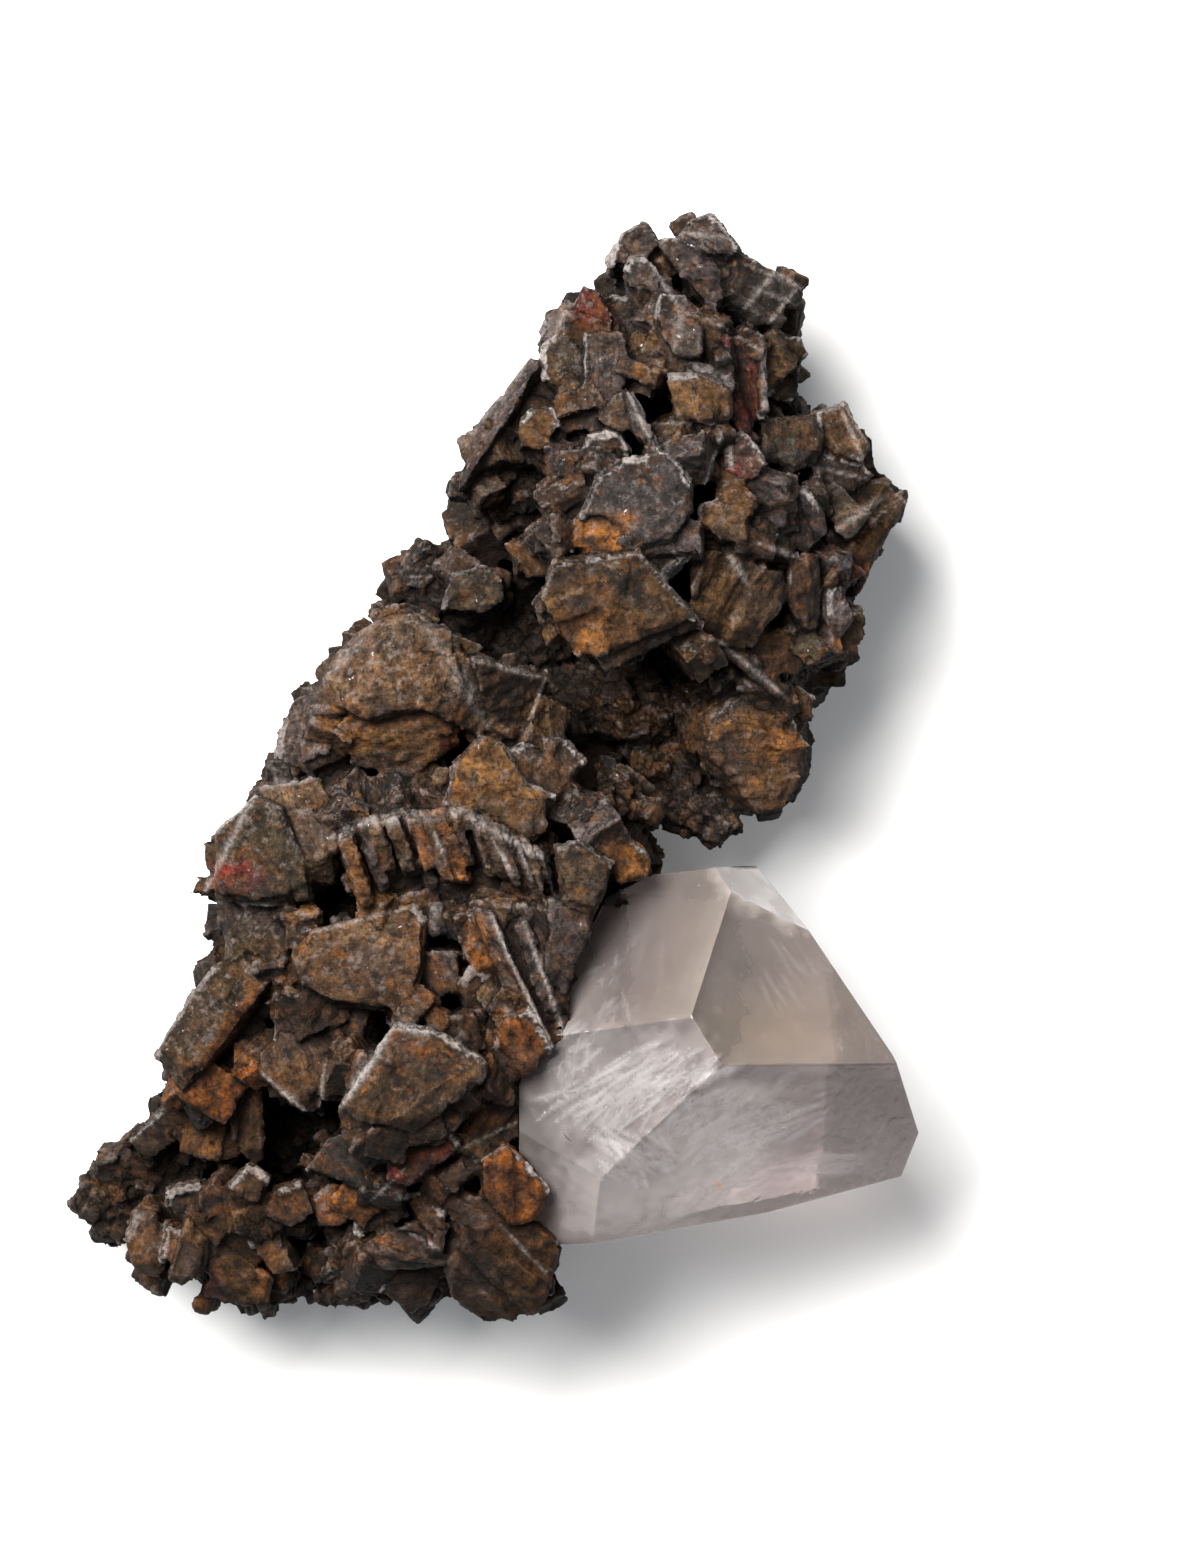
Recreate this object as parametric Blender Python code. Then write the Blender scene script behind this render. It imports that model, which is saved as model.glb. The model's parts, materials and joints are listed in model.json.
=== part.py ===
"""A quartz crystal on a crust of albite crystals, lying on its flat-cut back.

Metres, +Z up. The origin is on the flat cut, under the middle of the crust. The lists below are in
millimetres: X to the right, Y up the specimen, Z out of the cut. Each albite crystal is drawn by the
corners of its outer face, and each face of the quartz is a plane.
"""

import math
import random

import bmesh
import bpy
from mathutils import Matrix, Vector

MM = 0.001

# Driving dimensions, in millimetres
GAP = 0.4
LEVEL_WITHIN = 0.25
QUARTZ_UNDERSIDE = 7.0
SEED = 11
KEPT_SHARE = 0.56

# Finish: colour, roughness, metallic
QUARTZ_FINISH = ((0.80, 0.72, 0.70), 0.12, 0.0)
ALBITE_FINISH = ((0.22, 0.12, 0.055), 0.75, 0.0)

# Outer faces of the quartz: a point on the plane and its rise per millimetre in x and y
QUARTZ_TOP_FACES = [
    ((19.0, -23.2, 43.0), (0.50, -0.76)),
    ((19.0, -23.2, 43.0), (-0.45, -0.45)),
    ((19.0, -23.2, 43.0), (0.38, 0.04)),
    ((21.8, -28.0, 43.9), (-0.45, 0.90)),
    ((22.8, -11.0, 35.8), (-1.12, -1.79)),
    ((5.0, -36.4, 37.15), (0.78, 0.74)),
]

# Steep sides of the quartz: two points of its outline seen from above, clockwise, and how far the
# side draws in for each millimetre down
QUARTZ_SIDES = [
    ((10.9, -11.2), (15.0, -9.3), 0.10),
    ((15.0, -9.3), (26.2, -8.2), 0.06),
    ((26.2, -8.2), (38.9, -27.8), 0.14),
    ((38.9, -27.8), (42.3, -35.0), 0.12),
    ((42.3, -35.0), (40.6, -40.8), 0.10),
    ((40.6, -40.8), (28.0, -43.7), 0.16),
    ((28.0, -43.7), (6.0, -46.5), 0.14),
    ((2.0, -41.0), (2.0, -30.0), 0.0),
    ((2.0, -30.0), (10.9, -11.2), 0.0),
]

# Underside of the quartz: the same form as its top faces
QUARTZ_UNDER_FACES = [
    ((14.0, -30.0, QUARTZ_UNDERSIDE), (0.05, 0.02)),
    ((30.0, -30.0, 8.5), (0.62, 0.05)),
    ((20.0, -38.0, 8.5), (0.10, -0.70)),
    ((22.0, -16.0, 9.0), (0.15, 0.60)),
]

# Crust outline seen from above, clockwise from the top; the last stretch lies under the quartz
CRUST_OUTLINE = [
    (14.5, 55.7), (15.8, 54.0), (18.6, 55.6), (21.2, 56.7), (24.0, 53.0), (30.9, 49.4), (28.6, 45.4),
    (30.9, 42.4), (30.2, 38.8), (31.8, 37.0), (34.4, 37.9), (37.3, 33.0), (41.4, 28.2), (38.5, 23.0),
    (36.1, 17.8), (36.9, 14.8), (35.6, 11.5), (31.2, 12.2), (31.9, 8.4), (30.6, 1.0), (28.6, -3.1),
    (20.5, -6.9), (15.0, -8.5), (16.0, -12.0), (20.0, -20.0), (20.0, -32.0), (12.0, -40.0),
    (6.0, -46.3), (5.6, -51.5), (1.5, -54.9), (-1.0, -55.4), (-4.8, -51.9), (-8.4, -54.3),
    (-12.3, -51.1), (-16.3, -51.2), (-18.1, -52.6), (-25.3, -53.9), (-31.1, -53.2), (-36.9, -50.3),
    (-37.6, -46.6), (-41.5, -46.8), (-43.0, -42.5), (-41.0, -36.3), (-36.0, -34.4), (-32.8, -31.3),
    (-34.8, -28.3), (-31.3, -21.0), (-29.3, -18.4), (-30.0, -13.0), (-28.5, -4.9), (-22.3, 1.9),
    (-20.3, 8.2), (-15.2, 14.1), (-12.6, 15.5), (-12.0, 19.8), (-7.2, 24.2), (-4.7, 29.0),
    (-3.4, 35.2), (2.4, 42.3), (6.0, 48.0), (10.0, 50.5),
]

# The matrix behind the crystals: a plain slab, then rounded masses on it (middle, radii)
MATRIX_OUTLINE = [
    (15, 50), (24, 46), (26, 38), (33, 31), (34, 26), (32, 18), (28, 12), (26, 4), (22, -2), (15, -4),
    (12, -12), (14, -22), (10, -34), (2, -42), (0, -50), (-10, -48), (-22, -48), (-34, -46), (-38, -42),
    (-29, -37), (-27, -30), (-27, -20), (-25, -10), (-20, -2), (-15, 6), (-9, 14), (-3, 23), (2, 34),
    (8, 44),
]
MATRIX_HEIGHT = 12.5
MASSES = [
    ((17, 45, 12), (9, 9, 14)),
    ((19, 34, 14), (12, 10, 18)),
    ((7, 31, 12), (8, 9, 15)),
    ((30, 28, 10), (8, 9, 14)),
    ((15, 23, 16), (11, 9, 20)),
    ((25, 15, 14), (9, 9, 15)),
    ((26, 3, 10), (6, 7, 12)),
    ((-6, 17, 8), (6, 6, 11)),
    ((-8, 6, 18), (9, 9, 20)),
    ((-17, -5, 14), (9, 9, 18)),
    ((1, -4, 18), (9, 8, 18)),
    ((-12, -17, 16), (9, 9, 17)),
    ((-24, -24, 12), (7, 8, 15)),
    ((0, -19, 16), (7, 10, 20)),
    ((-2, -32, 14), (5, 6, 15)),
    ((-30, -33, 7), (4, 5, 12)),
    ((-8, -30, 18), (9, 7, 18)),
    ((-1, -44, 14), (7, 8, 15)),
    ((-11, -42, 12), (9, 8, 13)),
    ((-26, -46, 8), (9, 6, 10)),
    ((-37, -42, 8), (5, 5, 8)),
]

# Albite crystals: name, height of the outer face, its rise in x and y, depth, lean in x and y for
# each millimetre down, and the corners of the outer face
CRYSTALS = [
    # Upper tip
    ("tip_horn", 29, (0.10, -0.25), 9, (0.08, -0.25),
     [(10.5, 51.5), (12.2, 54.7), (14.6, 55.7), (15.8, 53.6), (14.5, 51.8)]),
    ("tip_step", 31, (0.05, -0.20), 8, (0.0, -0.15),
     [(12.4, 50.5), (12.8, 52.0), (14.6, 52.0), (16.3, 49.5), (15.8, 48.3), (13.0, 48.3)]),
    ("tip_blade", 30, (-0.15, -0.25), 10, (0.0, -0.2),
     [(16.0, 53.8), (17.8, 53.8), (21.8, 51.3), (22.6, 48.5), (21.6, 46.5), (18.0, 50.8)]),
    ("tip_cap", 28.5, (0.0, -0.45), 8, (-0.05, -0.3),
     [(17.5, 54.0), (18.6, 55.6), (21.2, 56.6), (24.0, 53.0), (22.0, 51.5)]),
    ("tip_wedge", 28, (-0.30, -0.10), 10, (-0.25, -0.12),
     [(24.2, 52.6), (30.9, 49.4), (28.2, 45.5), (26.2, 45.5), (23.0, 48.0)]),
    ("neck_blade", 33.5, (0.05, -0.20), 9, (0.0, -0.1),
     [(16.0, 48.5), (18.5, 48.3), (20.0, 46.5), (20.0, 42.0), (17.5, 42.3), (15.6, 46.0)]),
    ("neck_cube", 36.5, (-0.05, -0.15), 7, (0.0, 0.0),
     [(16.8, 40.2), (19.5, 40.0), (22.8, 38.6), (22.9, 36.0), (21.0, 35.3), (17.5, 35.8)]),
    ("neck_facet", 34.6, (0.0, -0.60), 7, (0.0, -0.1),
     [(18.8, 41.6), (22.2, 40.8), (23.3, 39.2), (22.6, 38.0), (19.0, 39.6)]),
    ("shoulder_cap", 27.5, (-0.40, 0.10), 9, (-0.3, 0.0),
     [(27.6, 44.4), (30.2, 43.9), (30.9, 42.4), (30.3, 40.4), (28.6, 40.6)]),
    ("shoulder_dark", 26.5, (-0.35, 0.0), 9, (-0.3, 0.0),
     [(26.8, 40.8), (30.1, 40.3), (30.2, 38.7), (29.3, 37.6), (26.8, 38.4)]),
    ("neck_plate", 32.5, (-0.25, 0.05), 9, (-0.1, 0.0),
     [(22.5, 44.5), (25.0, 44.0), (25.9, 40.0), (25.6, 35.6), (24.3, 34.6), (23.0, 37.0)]),
    ("neck_rim", 32.6, (-0.15, 0.05), 9, (-0.1, 0.0),
     [(25.5, 44.6), (26.5, 44.4), (26.9, 36.4), (25.9, 35.8)]),
    ("neck_outer_rim", 29.8, (-0.2, 0.0), 8, (-0.15, 0.0),
     [(26.8, 45.6), (27.7, 45.2), (28.0, 41.6), (27.1, 41.4)]),
    ("brick_point", 31, (0.35, -0.10), 9, (0.2, -0.1),
     [(8.2, 49.3), (9.6, 48.8), (11.4, 45.8), (10.6, 45.0), (6.6, 45.0)]),
    ("pale_edge", 28, (0.50, -0.30), 10, (0.3, -0.2),
     [(3.4, 43.4), (3.7, 45.5), (6.2, 48.2), (7.8, 47.0), (6.5, 45.0), (4.6, 42.4)]),
    ("neck_block", 35.5, (0.08, -0.12), 9, (0.0, 0.0),
     [(8.6, 44.2), (11.8, 44.4), (12.5, 42.0), (12.2, 39.5), (10.0, 37.5), (8.3, 38.6)]),
    ("neck_left", 32, (0.25, -0.15), 8, (0.1, 0.0),
     [(4.2, 43.0), (6.5, 44.4), (8.2, 42.5), (8.3, 39.5), (6.0, 38.0), (4.4, 39.8)]),
    ("neck_behind", 30.5, (0.05, -0.30), 8, (0.0, 0.0),
     [(11.0, 48.6), (13.0, 48.0), (15.6, 44.6), (15.0, 41.5), (12.4, 42.4), (11.4, 45.0)]),
    ("left_blade", 29, (0.45, -0.30), 12, (0.3, -0.2),
     [(-3.4, 35.4), (1.2, 41.0), (2.4, 42.3), (3.5, 41.8), (0.6, 37.0), (-4.6, 28.9), (-4.4, 30.5)]),
    ("left_block", 33, (0.20, -0.05), 9, (0.0, 0.0),
     [(3.2, 37.0), (5.0, 37.0), (6.0, 35.0), (4.6, 32.5), (2.0, 33.0), (2.0, 35.8)]),
    ("sail", 38, (0.10, -0.20), 9, (0.0, 0.0),
     [(9.4, 35.6), (11.6, 38.3), (12.9, 38.2), (13.4, 35.0), (12.2, 34.2)]),
    ("sail_ridge", 39, (0.10, -0.15), 9, (0.0, 0.0),
     [(12.2, 38.9), (13.1, 38.4), (16.0, 32.7), (15.0, 32.0), (13.2, 34.4)]),
    ("step_brown", 37, (0.10, 0.10), 8, (0.0, 0.0),
     [(8.8, 34.2), (12.0, 34.8), (13.0, 32.5), (10.5, 30.5), (8.0, 32.2)]),
    # Right side
    ("right_crown", 27, (-0.15, -0.10), 10, (-0.28, -0.15),
     [(31.8, 37.0), (34.4, 37.9), (37.2, 33.3), (36.8, 32.0), (33.6, 32.8), (31.8, 34.8)]),
    ("right_dark", 29.5, (-0.20, -0.10), 9, (-0.1, 0.0),
     [(25.8, 36.2), (31.5, 36.2), (32.6, 34.0), (31.5, 31.5), (29.0, 30.5), (26.2, 32.0)]),
    ("right_step", 26.5, (-0.25, 0.0), 8, (-0.2, 0.0),
     [(31.2, 32.4), (36.4, 31.8), (37.6, 30.4), (35.0, 28.6), (31.8, 29.0)]),
    ("right_point", 24.5, (-0.25, -0.10), 9, (-0.35, 0.0),
     [(36.0, 29.0), (39.0, 30.2), (41.4, 28.2), (38.6, 23.0), (36.2, 18.0), (33.8, 21.6), (33.0, 25.6)]),
    ("right_rib", 27.5, (-0.25, -0.05), 7, (-0.2, 0.0),
     [(32.8, 24.6), (36.3, 28.4), (37.1, 27.7), (33.4, 23.6)]),
    ("right_outer_rib", 26.2, (-0.25, -0.05), 7, (-0.3, 0.0),
     [(34.3, 24.0), (38.4, 27.2), (38.9, 26.1), (34.7, 23.0)]),
    ("right_mauve", 32.5, (-0.20, 0.10), 9, (0.0, 0.0),
     [(27.4, 28.0), (30.3, 29.2), (31.8, 27.0), (32.2, 24.5), (30.5, 22.8), (28.4, 24.6)]),
    ("step_red", 35, (0.0, -0.30), 9, (0.0, 0.0),
     [(22.4, 33.0), (24.0, 34.5), (26.7, 31.4), (25.2, 29.7), (22.6, 31.0)]),
    ("step_ochre", 36.2, (0.10, -0.30), 9, (0.0, 0.0),
     [(21.2, 28.4), (22.2, 31.5), (26.0, 27.6), (24.8, 26.4), (22.6, 27.0)]),
    ("step_pale", 37, (0.0, -0.10), 8, (0.0, 0.0),
     [(20.0, 27.4), (21.4, 27.8), (24.9, 26.0), (24.6, 23.4), (21.8, 23.4), (20.0, 25.2)]),
    ("ribbed_mass", 35.5, (-0.22, 0.10), 11, (0.0, 0.0),
     [(18.8, 21.0), (20.0, 22.6), (24.2, 22.2), (28.3, 20.5), (28.6, 18.0), (25.0, 13.4), (21.8, 13.8),
      (19.2, 15.8)]),
    ("ribbed_step", 34, (-0.25, 0.05), 9, (0.0, 0.0),
     [(24.6, 25.6), (27.2, 26.8), (29.3, 22.8), (29.0, 21.2), (25.0, 22.4)]),
    ("rim_plate", 35.6, (-0.15, 0.10), 7, (0.0, 0.0),
     [(25.8, 24.1), (29.5, 22.7), (29.2, 21.6), (25.6, 22.9)]),
    ("right_brown", 31.5, (-0.30, 0.0), 9, (-0.05, 0.0),
     [(29.2, 22.4), (31.8, 22.6), (32.1, 20.2), (31.7, 15.4), (30.2, 14.8), (28.8, 18.0)]),
    ("right_pale", 28.5, (-0.30, 0.10), 9, (-0.3, 0.0),
     [(32.8, 19.6), (34.3, 19.4), (36.0, 16.6), (34.2, 13.8), (32.6, 15.2)]),
    ("right_hook", 25.5, (-0.30, 0.0), 8, (-0.3, 0.0),
     [(34.3, 15.0), (36.2, 17.4), (36.9, 14.6), (35.6, 11.6), (33.6, 12.6)]),
    ("cliff_edge", 31.8, (-0.20, 0.10), 9, (0.0, 0.1),
     [(21.4, 14.0), (24.8, 12.6), (29.0, 8.7), (28.0, 7.4), (24.0, 11.0), (21.4, 12.8)]),
    ("cliff_rough", 29.5, (-0.20, 0.10), 9, (-0.05, 0.1),
     [(23.6, 14.6), (29.0, 15.0), (32.0, 12.6), (29.8, 9.9), (27.0, 10.4)]),
    ("flap", 24.5, (-0.25, -0.10), 8, (-0.4, 0.0),
     [(28.0, 9.4), (29.9, 9.8), (31.9, 8.4), (31.7, 5.8), (29.6, 5.6)]),
    ("lower_right_plate", 27.5, (-0.14, 0.06), 11, (-0.3, 0.1),
     [(21.8, 2.2), (21.6, 6.2), (24.0, 8.1), (28.5, 7.2), (31.2, 3.4), (29.5, -1.2), (28.4, -3.1),
      (26.4, -3.4), (23.5, 0.2)]),
    # Centre
    ("speckled_plate", 40, (0.03, -0.16), 12, (0.0, 0.0),
     [(8.0, 25.8), (9.6, 29.8), (12.2, 31.8), (16.5, 32.3), (19.2, 29.2), (19.2, 26.6), (17.2, 23.4),
      (14.2, 23.0), (10.5, 26.0)]),
    ("orange_break", 38, (0.20, -0.20), 9, (0.0, 0.0),
     [(6.8, 23.2), (8.4, 24.8), (10.0, 26.6), (12.6, 26.4), (13.5, 25.0), (11.0, 22.6)]),
    ("main_rhomb", 42, (-0.04, 0.06), 13, (0.0, 0.1),
     [(4.2, 17.8), (6.6, 22.6), (14.5, 21.9), (19.5, 16.0), (9.4, 11.8), (7.8, 12.0), (5.8, 14.4)]),
    ("main_ledge", 38.6, (-0.04, 0.10), 10, (0.0, 0.1),
     [(9.6, 12.4), (19.2, 16.4), (20.4, 15.2), (10.2, 10.6)]),
    ("needle", 40.5, (-0.04, 0.06), 7, (0.0, 0.0),
     [(16.0, 20.3), (19.0, 23.3), (19.7, 22.5), (16.8, 19.6)]),
    ("pit_crystal", 24, (0.05, -0.05), 7, (0.0, 0.0),
     [(-5.9, 17.0), (-4.9, 20.4), (-1.8, 21.5), (0.2, 20.2), (0.6, 18.0), (-2.0, 16.7)]),
    ("hump_cap", 41.5, (0.36, -0.16), 12, (0.12, -0.1),
     [(-18.5, 8.5), (-17.3, 11.8), (-15.2, 14.1), (-12.0, 16.6), (-8.4, 17.0), (-4.0, 12.8),
      (-1.0, 8.0), (-0.4, 4.2), (-4.0, 5.6), (-8.0, 7.6), (-13.0, 6.2)]),
    ("hump_rib", 44.6, (0.0, 0.02), 9, (0.0, 0.0),
     [(-8.2, 15.8), (-6.6, 15.4), (-1.5, 8.6), (-0.4, 4.4), (-2.0, 4.6), (-5.4, 10.0)]),
    ("hump_break", 38.5, (0.12, 0.62), 12, (0.0, 0.15),
     [(-14.6, 1.4), (-15.6, 5.0), (-13.0, 6.6), (-8.0, 7.9), (-5.2, 7.0), (-4.0, 2.8), (-8.5, 0.8)]),
    ("hump_wedge", 40.5, (-0.50, 0.12), 11, (0.0, 0.0),
     [(-2.6, 12.2), (0.2, 11.3), (4.8, 10.1), (3.4, 6.4), (1.2, 4.0), (-0.8, 4.6)]),
    ("left_pale_block", 36, (0.30, -0.20), 12, (0.25, -0.1),
     [(-20.2, 8.2), (-18.6, 8.2), (-15.2, 4.4), (-16.0, 2.2), (-19.4, 0.6), (-22.2, 2.2), (-21.6, 6.2)]),
    ("house_block", 37, (0.28, 0.10), 11, (0.2, -0.05),
     [(-24.0, -1.6), (-22.0, -2.6), (-19.8, -7.2), (-19.4, -11.4), (-24.0, -12.6), (-29.0, -11.5),
      (-28.4, -5.4)]),
    ("house_rim", 36.4, (0.25, 0.10), 9, (0.2, 0.0),
     [(-24.6, -0.4), (-23.4, -1.4), (-27.9, -10.2), (-29.0, -12.6), (-29.9, -12.4), (-28.6, -7.0)]),
    ("house_top", 37.6, (0.10, -0.20), 9, (0.1, -0.1),
     [(-24.0, -0.6), (-18.0, 0.6), (-16.2, -4.6), (-17.0, -9.6), (-19.2, -9.8), (-20.6, -5.8)]),
    ("house_step", 33, (0.20, -0.10), 9, (0.1, 0.0),
     [(-25.5, -12.8), (-21.0, -13.6), (-19.6, -16.8), (-22.6, -18.2), (-27.6, -15.8)]),
    ("rough_plate", 38, (0.06, -0.12), 11, (0.0, 0.0),
     [(-20.6, -17.4), (-18.4, -15.2), (-8.5, -12.5), (-7.2, -14.0), (-7.6, -19.6), (-9.2, -23.2),
      (-16.4, -22.2), (-19.6, -20.8)]),
    # Middle
    ("grainy_top", 40.5, (0.02, 0.08), 11, (0.0, 0.0),
     [(-5.4, -2.4), (-4.6, 1.6), (-1.8, 4.4), (0.4, 3.8), (2.8, -0.4), (5.8, -1.4), (5.2, -5.6),
      (3.2, -6.6)]),
    ("grainy_step", 38.5, (-0.20, 0.02), 9, (0.0, 0.0),
     [(1.2, 3.2), (3.8, 4.2), (6.8, 4.0), (8.6, 1.8), (5.8, -1.6), (2.6, -1.0)]),
    ("book_left", 40, (0.05, 0.38), 10, (0.0, 0.0),
     [(-16.2, -5.8), (-14.0, -4.0), (-8.0, -2.7), (-6.8, -7.0), (-6.2, -12.4), (-10.6, -12.4),
      (-14.2, -10.6)]),
    ("book_right", 39.8, (-0.02, 0.36), 10, (0.0, 0.0),
     [(-7.6, -2.8), (-2.0, -2.3), (5.1, -7.2), (4.2, -11.4), (-1.6, -11.8), (-5.8, -12.8)]),
    ("book_ridge", 42.2, (0.0, -0.10), 7, (0.0, 0.0),
     [(-16.0, -5.4), (-14.0, -3.5), (-3.6, -1.7), (-1.6, -1.9), (5.2, -6.8), (4.6, -8.0), (-2.2, -3.8),
      (-8.0, -3.8), (-14.0, -5.2)]),
    ("tan_block", 41, (-0.02, 0.12), 10, (0.0, 0.0),
     [(5.5, -6.4), (8.0, -6.1), (11.3, -8.2), (10.6, -10.8), (9.6, -13.2), (6.4, -12.4)]),
    ("corner_orange", 37.5, (-0.20, 0.20), 9, (-0.1, 0.1),
     [(9.4, -6.2), (11.5, -5.2), (14.8, -7.4), (15.4, -9.4), (12.0, -10.2)]),
    ("quartz_edge", 39.5, (-0.10, 0.10), 10, (0.0, 0.0),
     [(5.2, -11.8), (9.4, -13.4), (8.3, -17.0), (6.6, -21.4), (4.6, -19.0)]),
    ("lozenge", 42, (0.06, -0.12), 12, (0.0, 0.0),
     [(-10.2, -24.0), (-6.5, -24.6), (-1.6, -27.4), (-1.4, -29.0), (-8.6, -34.5), (-14.0, -33.0),
      (-15.2, -31.6)]),
    ("spine", 40.4, (0.10, 0.10), 9, (0.0, 0.0),
     [(-2.4, -12.8), (-0.6, -13.2), (1.9, -19.2), (5.4, -26.0), (4.4, -26.8), (0.4, -20.6)]),
    ("spine_face", 39, (0.30, 0.05), 9, (0.0, 0.0),
     [(-3.8, -13.4), (-1.8, -13.4), (1.0, -19.6), (0.0, -20.6), (-3.4, -17.6)]),
    ("quartz_rim", 39.8, (-0.05, 0.10), 9, (0.0, 0.0),
     [(1.6, -14.4), (3.0, -13.8), (5.2, -20.4), (7.2, -25.2), (6.0, -26.2), (3.2, -20.0)]),
    ("rust_block", 39.6, (0.10, 0.12), 9, (0.0, 0.0),
     [(0.6, -23.4), (3.0, -22.4), (5.2, -26.6), (3.8, -28.6), (1.0, -30.2), (-1.0, -27.0)]),
    ("small_dark", 38, (0.0, 0.10), 9, (0.0, 0.0),
     [(-2.2, -18.0), (-4.0, -20.0), (-3.2, -23.0), (-0.8, -22.6), (-0.8, -19.6)]),
    # Lower left
    ("brick_top", 33, (0.30, -0.15), 11, (0.2, 0.0),
     [(-30.4, -20.8), (-28.5, -18.4), (-26.0, -18.0), (-23.4, -20.2), (-27.4, -25.8), (-31.8, -30.8),
      (-34.4, -27.4)]),
    ("brick_side", 30, (0.05, 0.55), 9, (0.0, 0.0),
     [(-23.6, -20.6), (-22.6, -22.4), (-26.8, -30.6), (-31.4, -31.0), (-27.4, -26.0)]),
    ("tan_strip", 24, (0.10, 0.20), 8, (0.1, 0.1),
     [(-34.0, -33.0), (-31.2, -32.8), (-31.8, -35.4), (-35.2, -38.4), (-37.6, -36.2)]),
    ("fork", 28.5, (-0.05, 0.05), 9, (0.0, 0.0),
     [(-26.8, -31.6), (-24.8, -30.4), (-23.4, -31.0), (-23.6, -37.6), (-24.8, -38.0), (-26.6, -36.0)]),
    ("stick", 34.5, (0.0, 0.05), 8, (0.0, 0.0),
     [(-22.2, -20.0), (-20.8, -20.0), (-21.4, -25.6), (-22.3, -26.0)]),
    ("rough_mass", 35, (0.05, -0.06), 11, (0.0, 0.0),
     [(-23.8, -27.4), (-20.2, -23.8), (-16.8, -21.8), (-15.2, -24.0), (-16.6, -28.4), (-17.6, -32.6),
      (-19.4, -33.0), (-23.8, -29.6)]),
    ("end_plate", 25.5, (0.15, -0.20), 9, (0.1, 0.15),
     [(-37.5, -46.0), (-36.6, -43.2), (-34.8, -43.6), (-33.4, -47.0), (-34.4, -50.2), (-36.6, -49.8)]),
    ("end_slab", 27, (-0.10, -0.10), 9, (0.0, 0.2),
     [(-31.4, -44.4), (-29.8, -44.0), (-28.8, -45.6), (-29.2, -49.4), (-31.4, -50.6), (-33.2, -50.2)]),
    ("end_step", 26.4, (0.10, -0.20), 9, (0.0, 0.1),
     [(-33.4, -44.4), (-31.6, -45.0), (-32.4, -48.4), (-33.8, -48.0)]),
    ("low_plate", 25.5, (0.05, 0.10), 9, (0.0, 0.3),
     [(-29.4, -49.0), (-28.4, -46.4), (-26.0, -47.8), (-22.8, -50.4), (-22.8, -52.4), (-25.3, -53.6),
      (-29.6, -52.6)]),
    ("low_block", 28, (0.10, -0.10), 9, (0.0, 0.1),
     [(-24.9, -46.2), (-21.8, -46.0), (-20.2, -49.0), (-22.6, -49.6)]),
    ("small_cube", 30, (0.0, -0.10), 8, (0.0, 0.0),
     [(-27.2, -40.4), (-25.0, -38.2), (-22.7, -39.6), (-24.0, -42.0), (-26.2, -42.2)]),
    ("mauve_block", 25.5, (0.0, 0.10), 8, (0.0, 0.0),
     [(-33.2, -40.8), (-29.8, -40.2), (-29.4, -43.2), (-31.5, -44.2), (-33.4, -42.6)]),
    ("low_small", 29, (0.10, 0.0), 8, (0.0, 0.0),
     [(-24.0, -43.0), (-22.2, -40.8), (-19.8, -40.0), (-18.6, -43.0), (-21.2, -44.4)]),
    # Lower right
    ("grey_lozenge", 32, (0.0, -0.10), 9, (0.0, 0.0),
     [(-19.4, -38.8), (-17.0, -35.4), (-15.2, -35.0), (-11.3, -36.8), (-11.3, -39.2), (-14.0, -40.4)]),
    ("red_slab", 37, (0.05, -0.05), 10, (0.0, 0.0),
     [(-10.8, -36.8), (-5.5, -33.8), (-3.8, -36.2), (-9.2, -40.4), (-11.2, -39.6)]),
    ("red_step", 35.5, (0.0, -0.10), 9, (0.0, 0.0),
     [(-6.8, -39.2), (-2.2, -36.6), (-1.4, -38.2), (-4.4, -41.0)]),
    ("rust_slab", 36.5, (-0.02, 0.05), 10, (0.0, 0.0),
     [(-1.8, -37.6), (0.5, -35.8), (2.7, -37.6), (5.2, -40.6), (3.4, -43.8), (1.2, -44.4), (-1.8, -41.0)]),
    ("fan_small", 34.5, (0.10, -0.10), 9, (0.0, 0.0),
     [(-6.0, -40.6), (-2.6, -40.8), (0.2, -42.8), (-1.6, -44.4), (-4.6, -43.6)]),
    ("ribbed_plate", 34, (-0.08, 0.16), 12, (-0.1, 0.25),
     [(-4.8, -48.5), (-3.6, -44.7), (3.0, -44.2), (6.0, -46.4), (6.0, -49.4), (4.8, -52.7),
      (0.5, -55.2), (-1.2, -55.2), (-4.8, -51.6)]),
    ("low_tooth", 28, (0.0, 0.20), 9, (0.0, 0.3),
     [(-12.2, -51.0), (-8.4, -54.2), (-7.0, -52.6), (-5.6, -49.2), (-8.5, -47.4), (-11.8, -48.6)]),
    ("lens", 31.5, (0.05, -0.15), 9, (0.0, 0.0),
     [(-13.8, -46.4), (-11.0, -44.8), (-8.4, -44.0), (-6.0, -46.6), (-5.8, -48.2), (-8.2, -48.8),
      (-11.2, -48.4)]),
    ("lens_upper", 32.5, (0.0, -0.15), 9, (0.0, 0.0),
     [(-9.7, -41.0), (-7.0, -40.8), (-5.4, -43.2), (-5.4, -45.8), (-7.8, -44.4)]),
    ("lens_left", 30, (0.10, -0.10), 9, (0.0, 0.0),
     [(-14.0, -42.0), (-10.5, -41.4), (-9.0, -43.4), (-12.2, -45.5), (-14.4, -45.2)]),
    ("low_orange", 28.5, (0.10, -0.10), 8, (0.0, 0.0),
     [(-18.6, -41.6), (-17.0, -40.2), (-13.8, -41.4), (-15.4, -44.2), (-18.0, -44.4)]),
]

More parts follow.
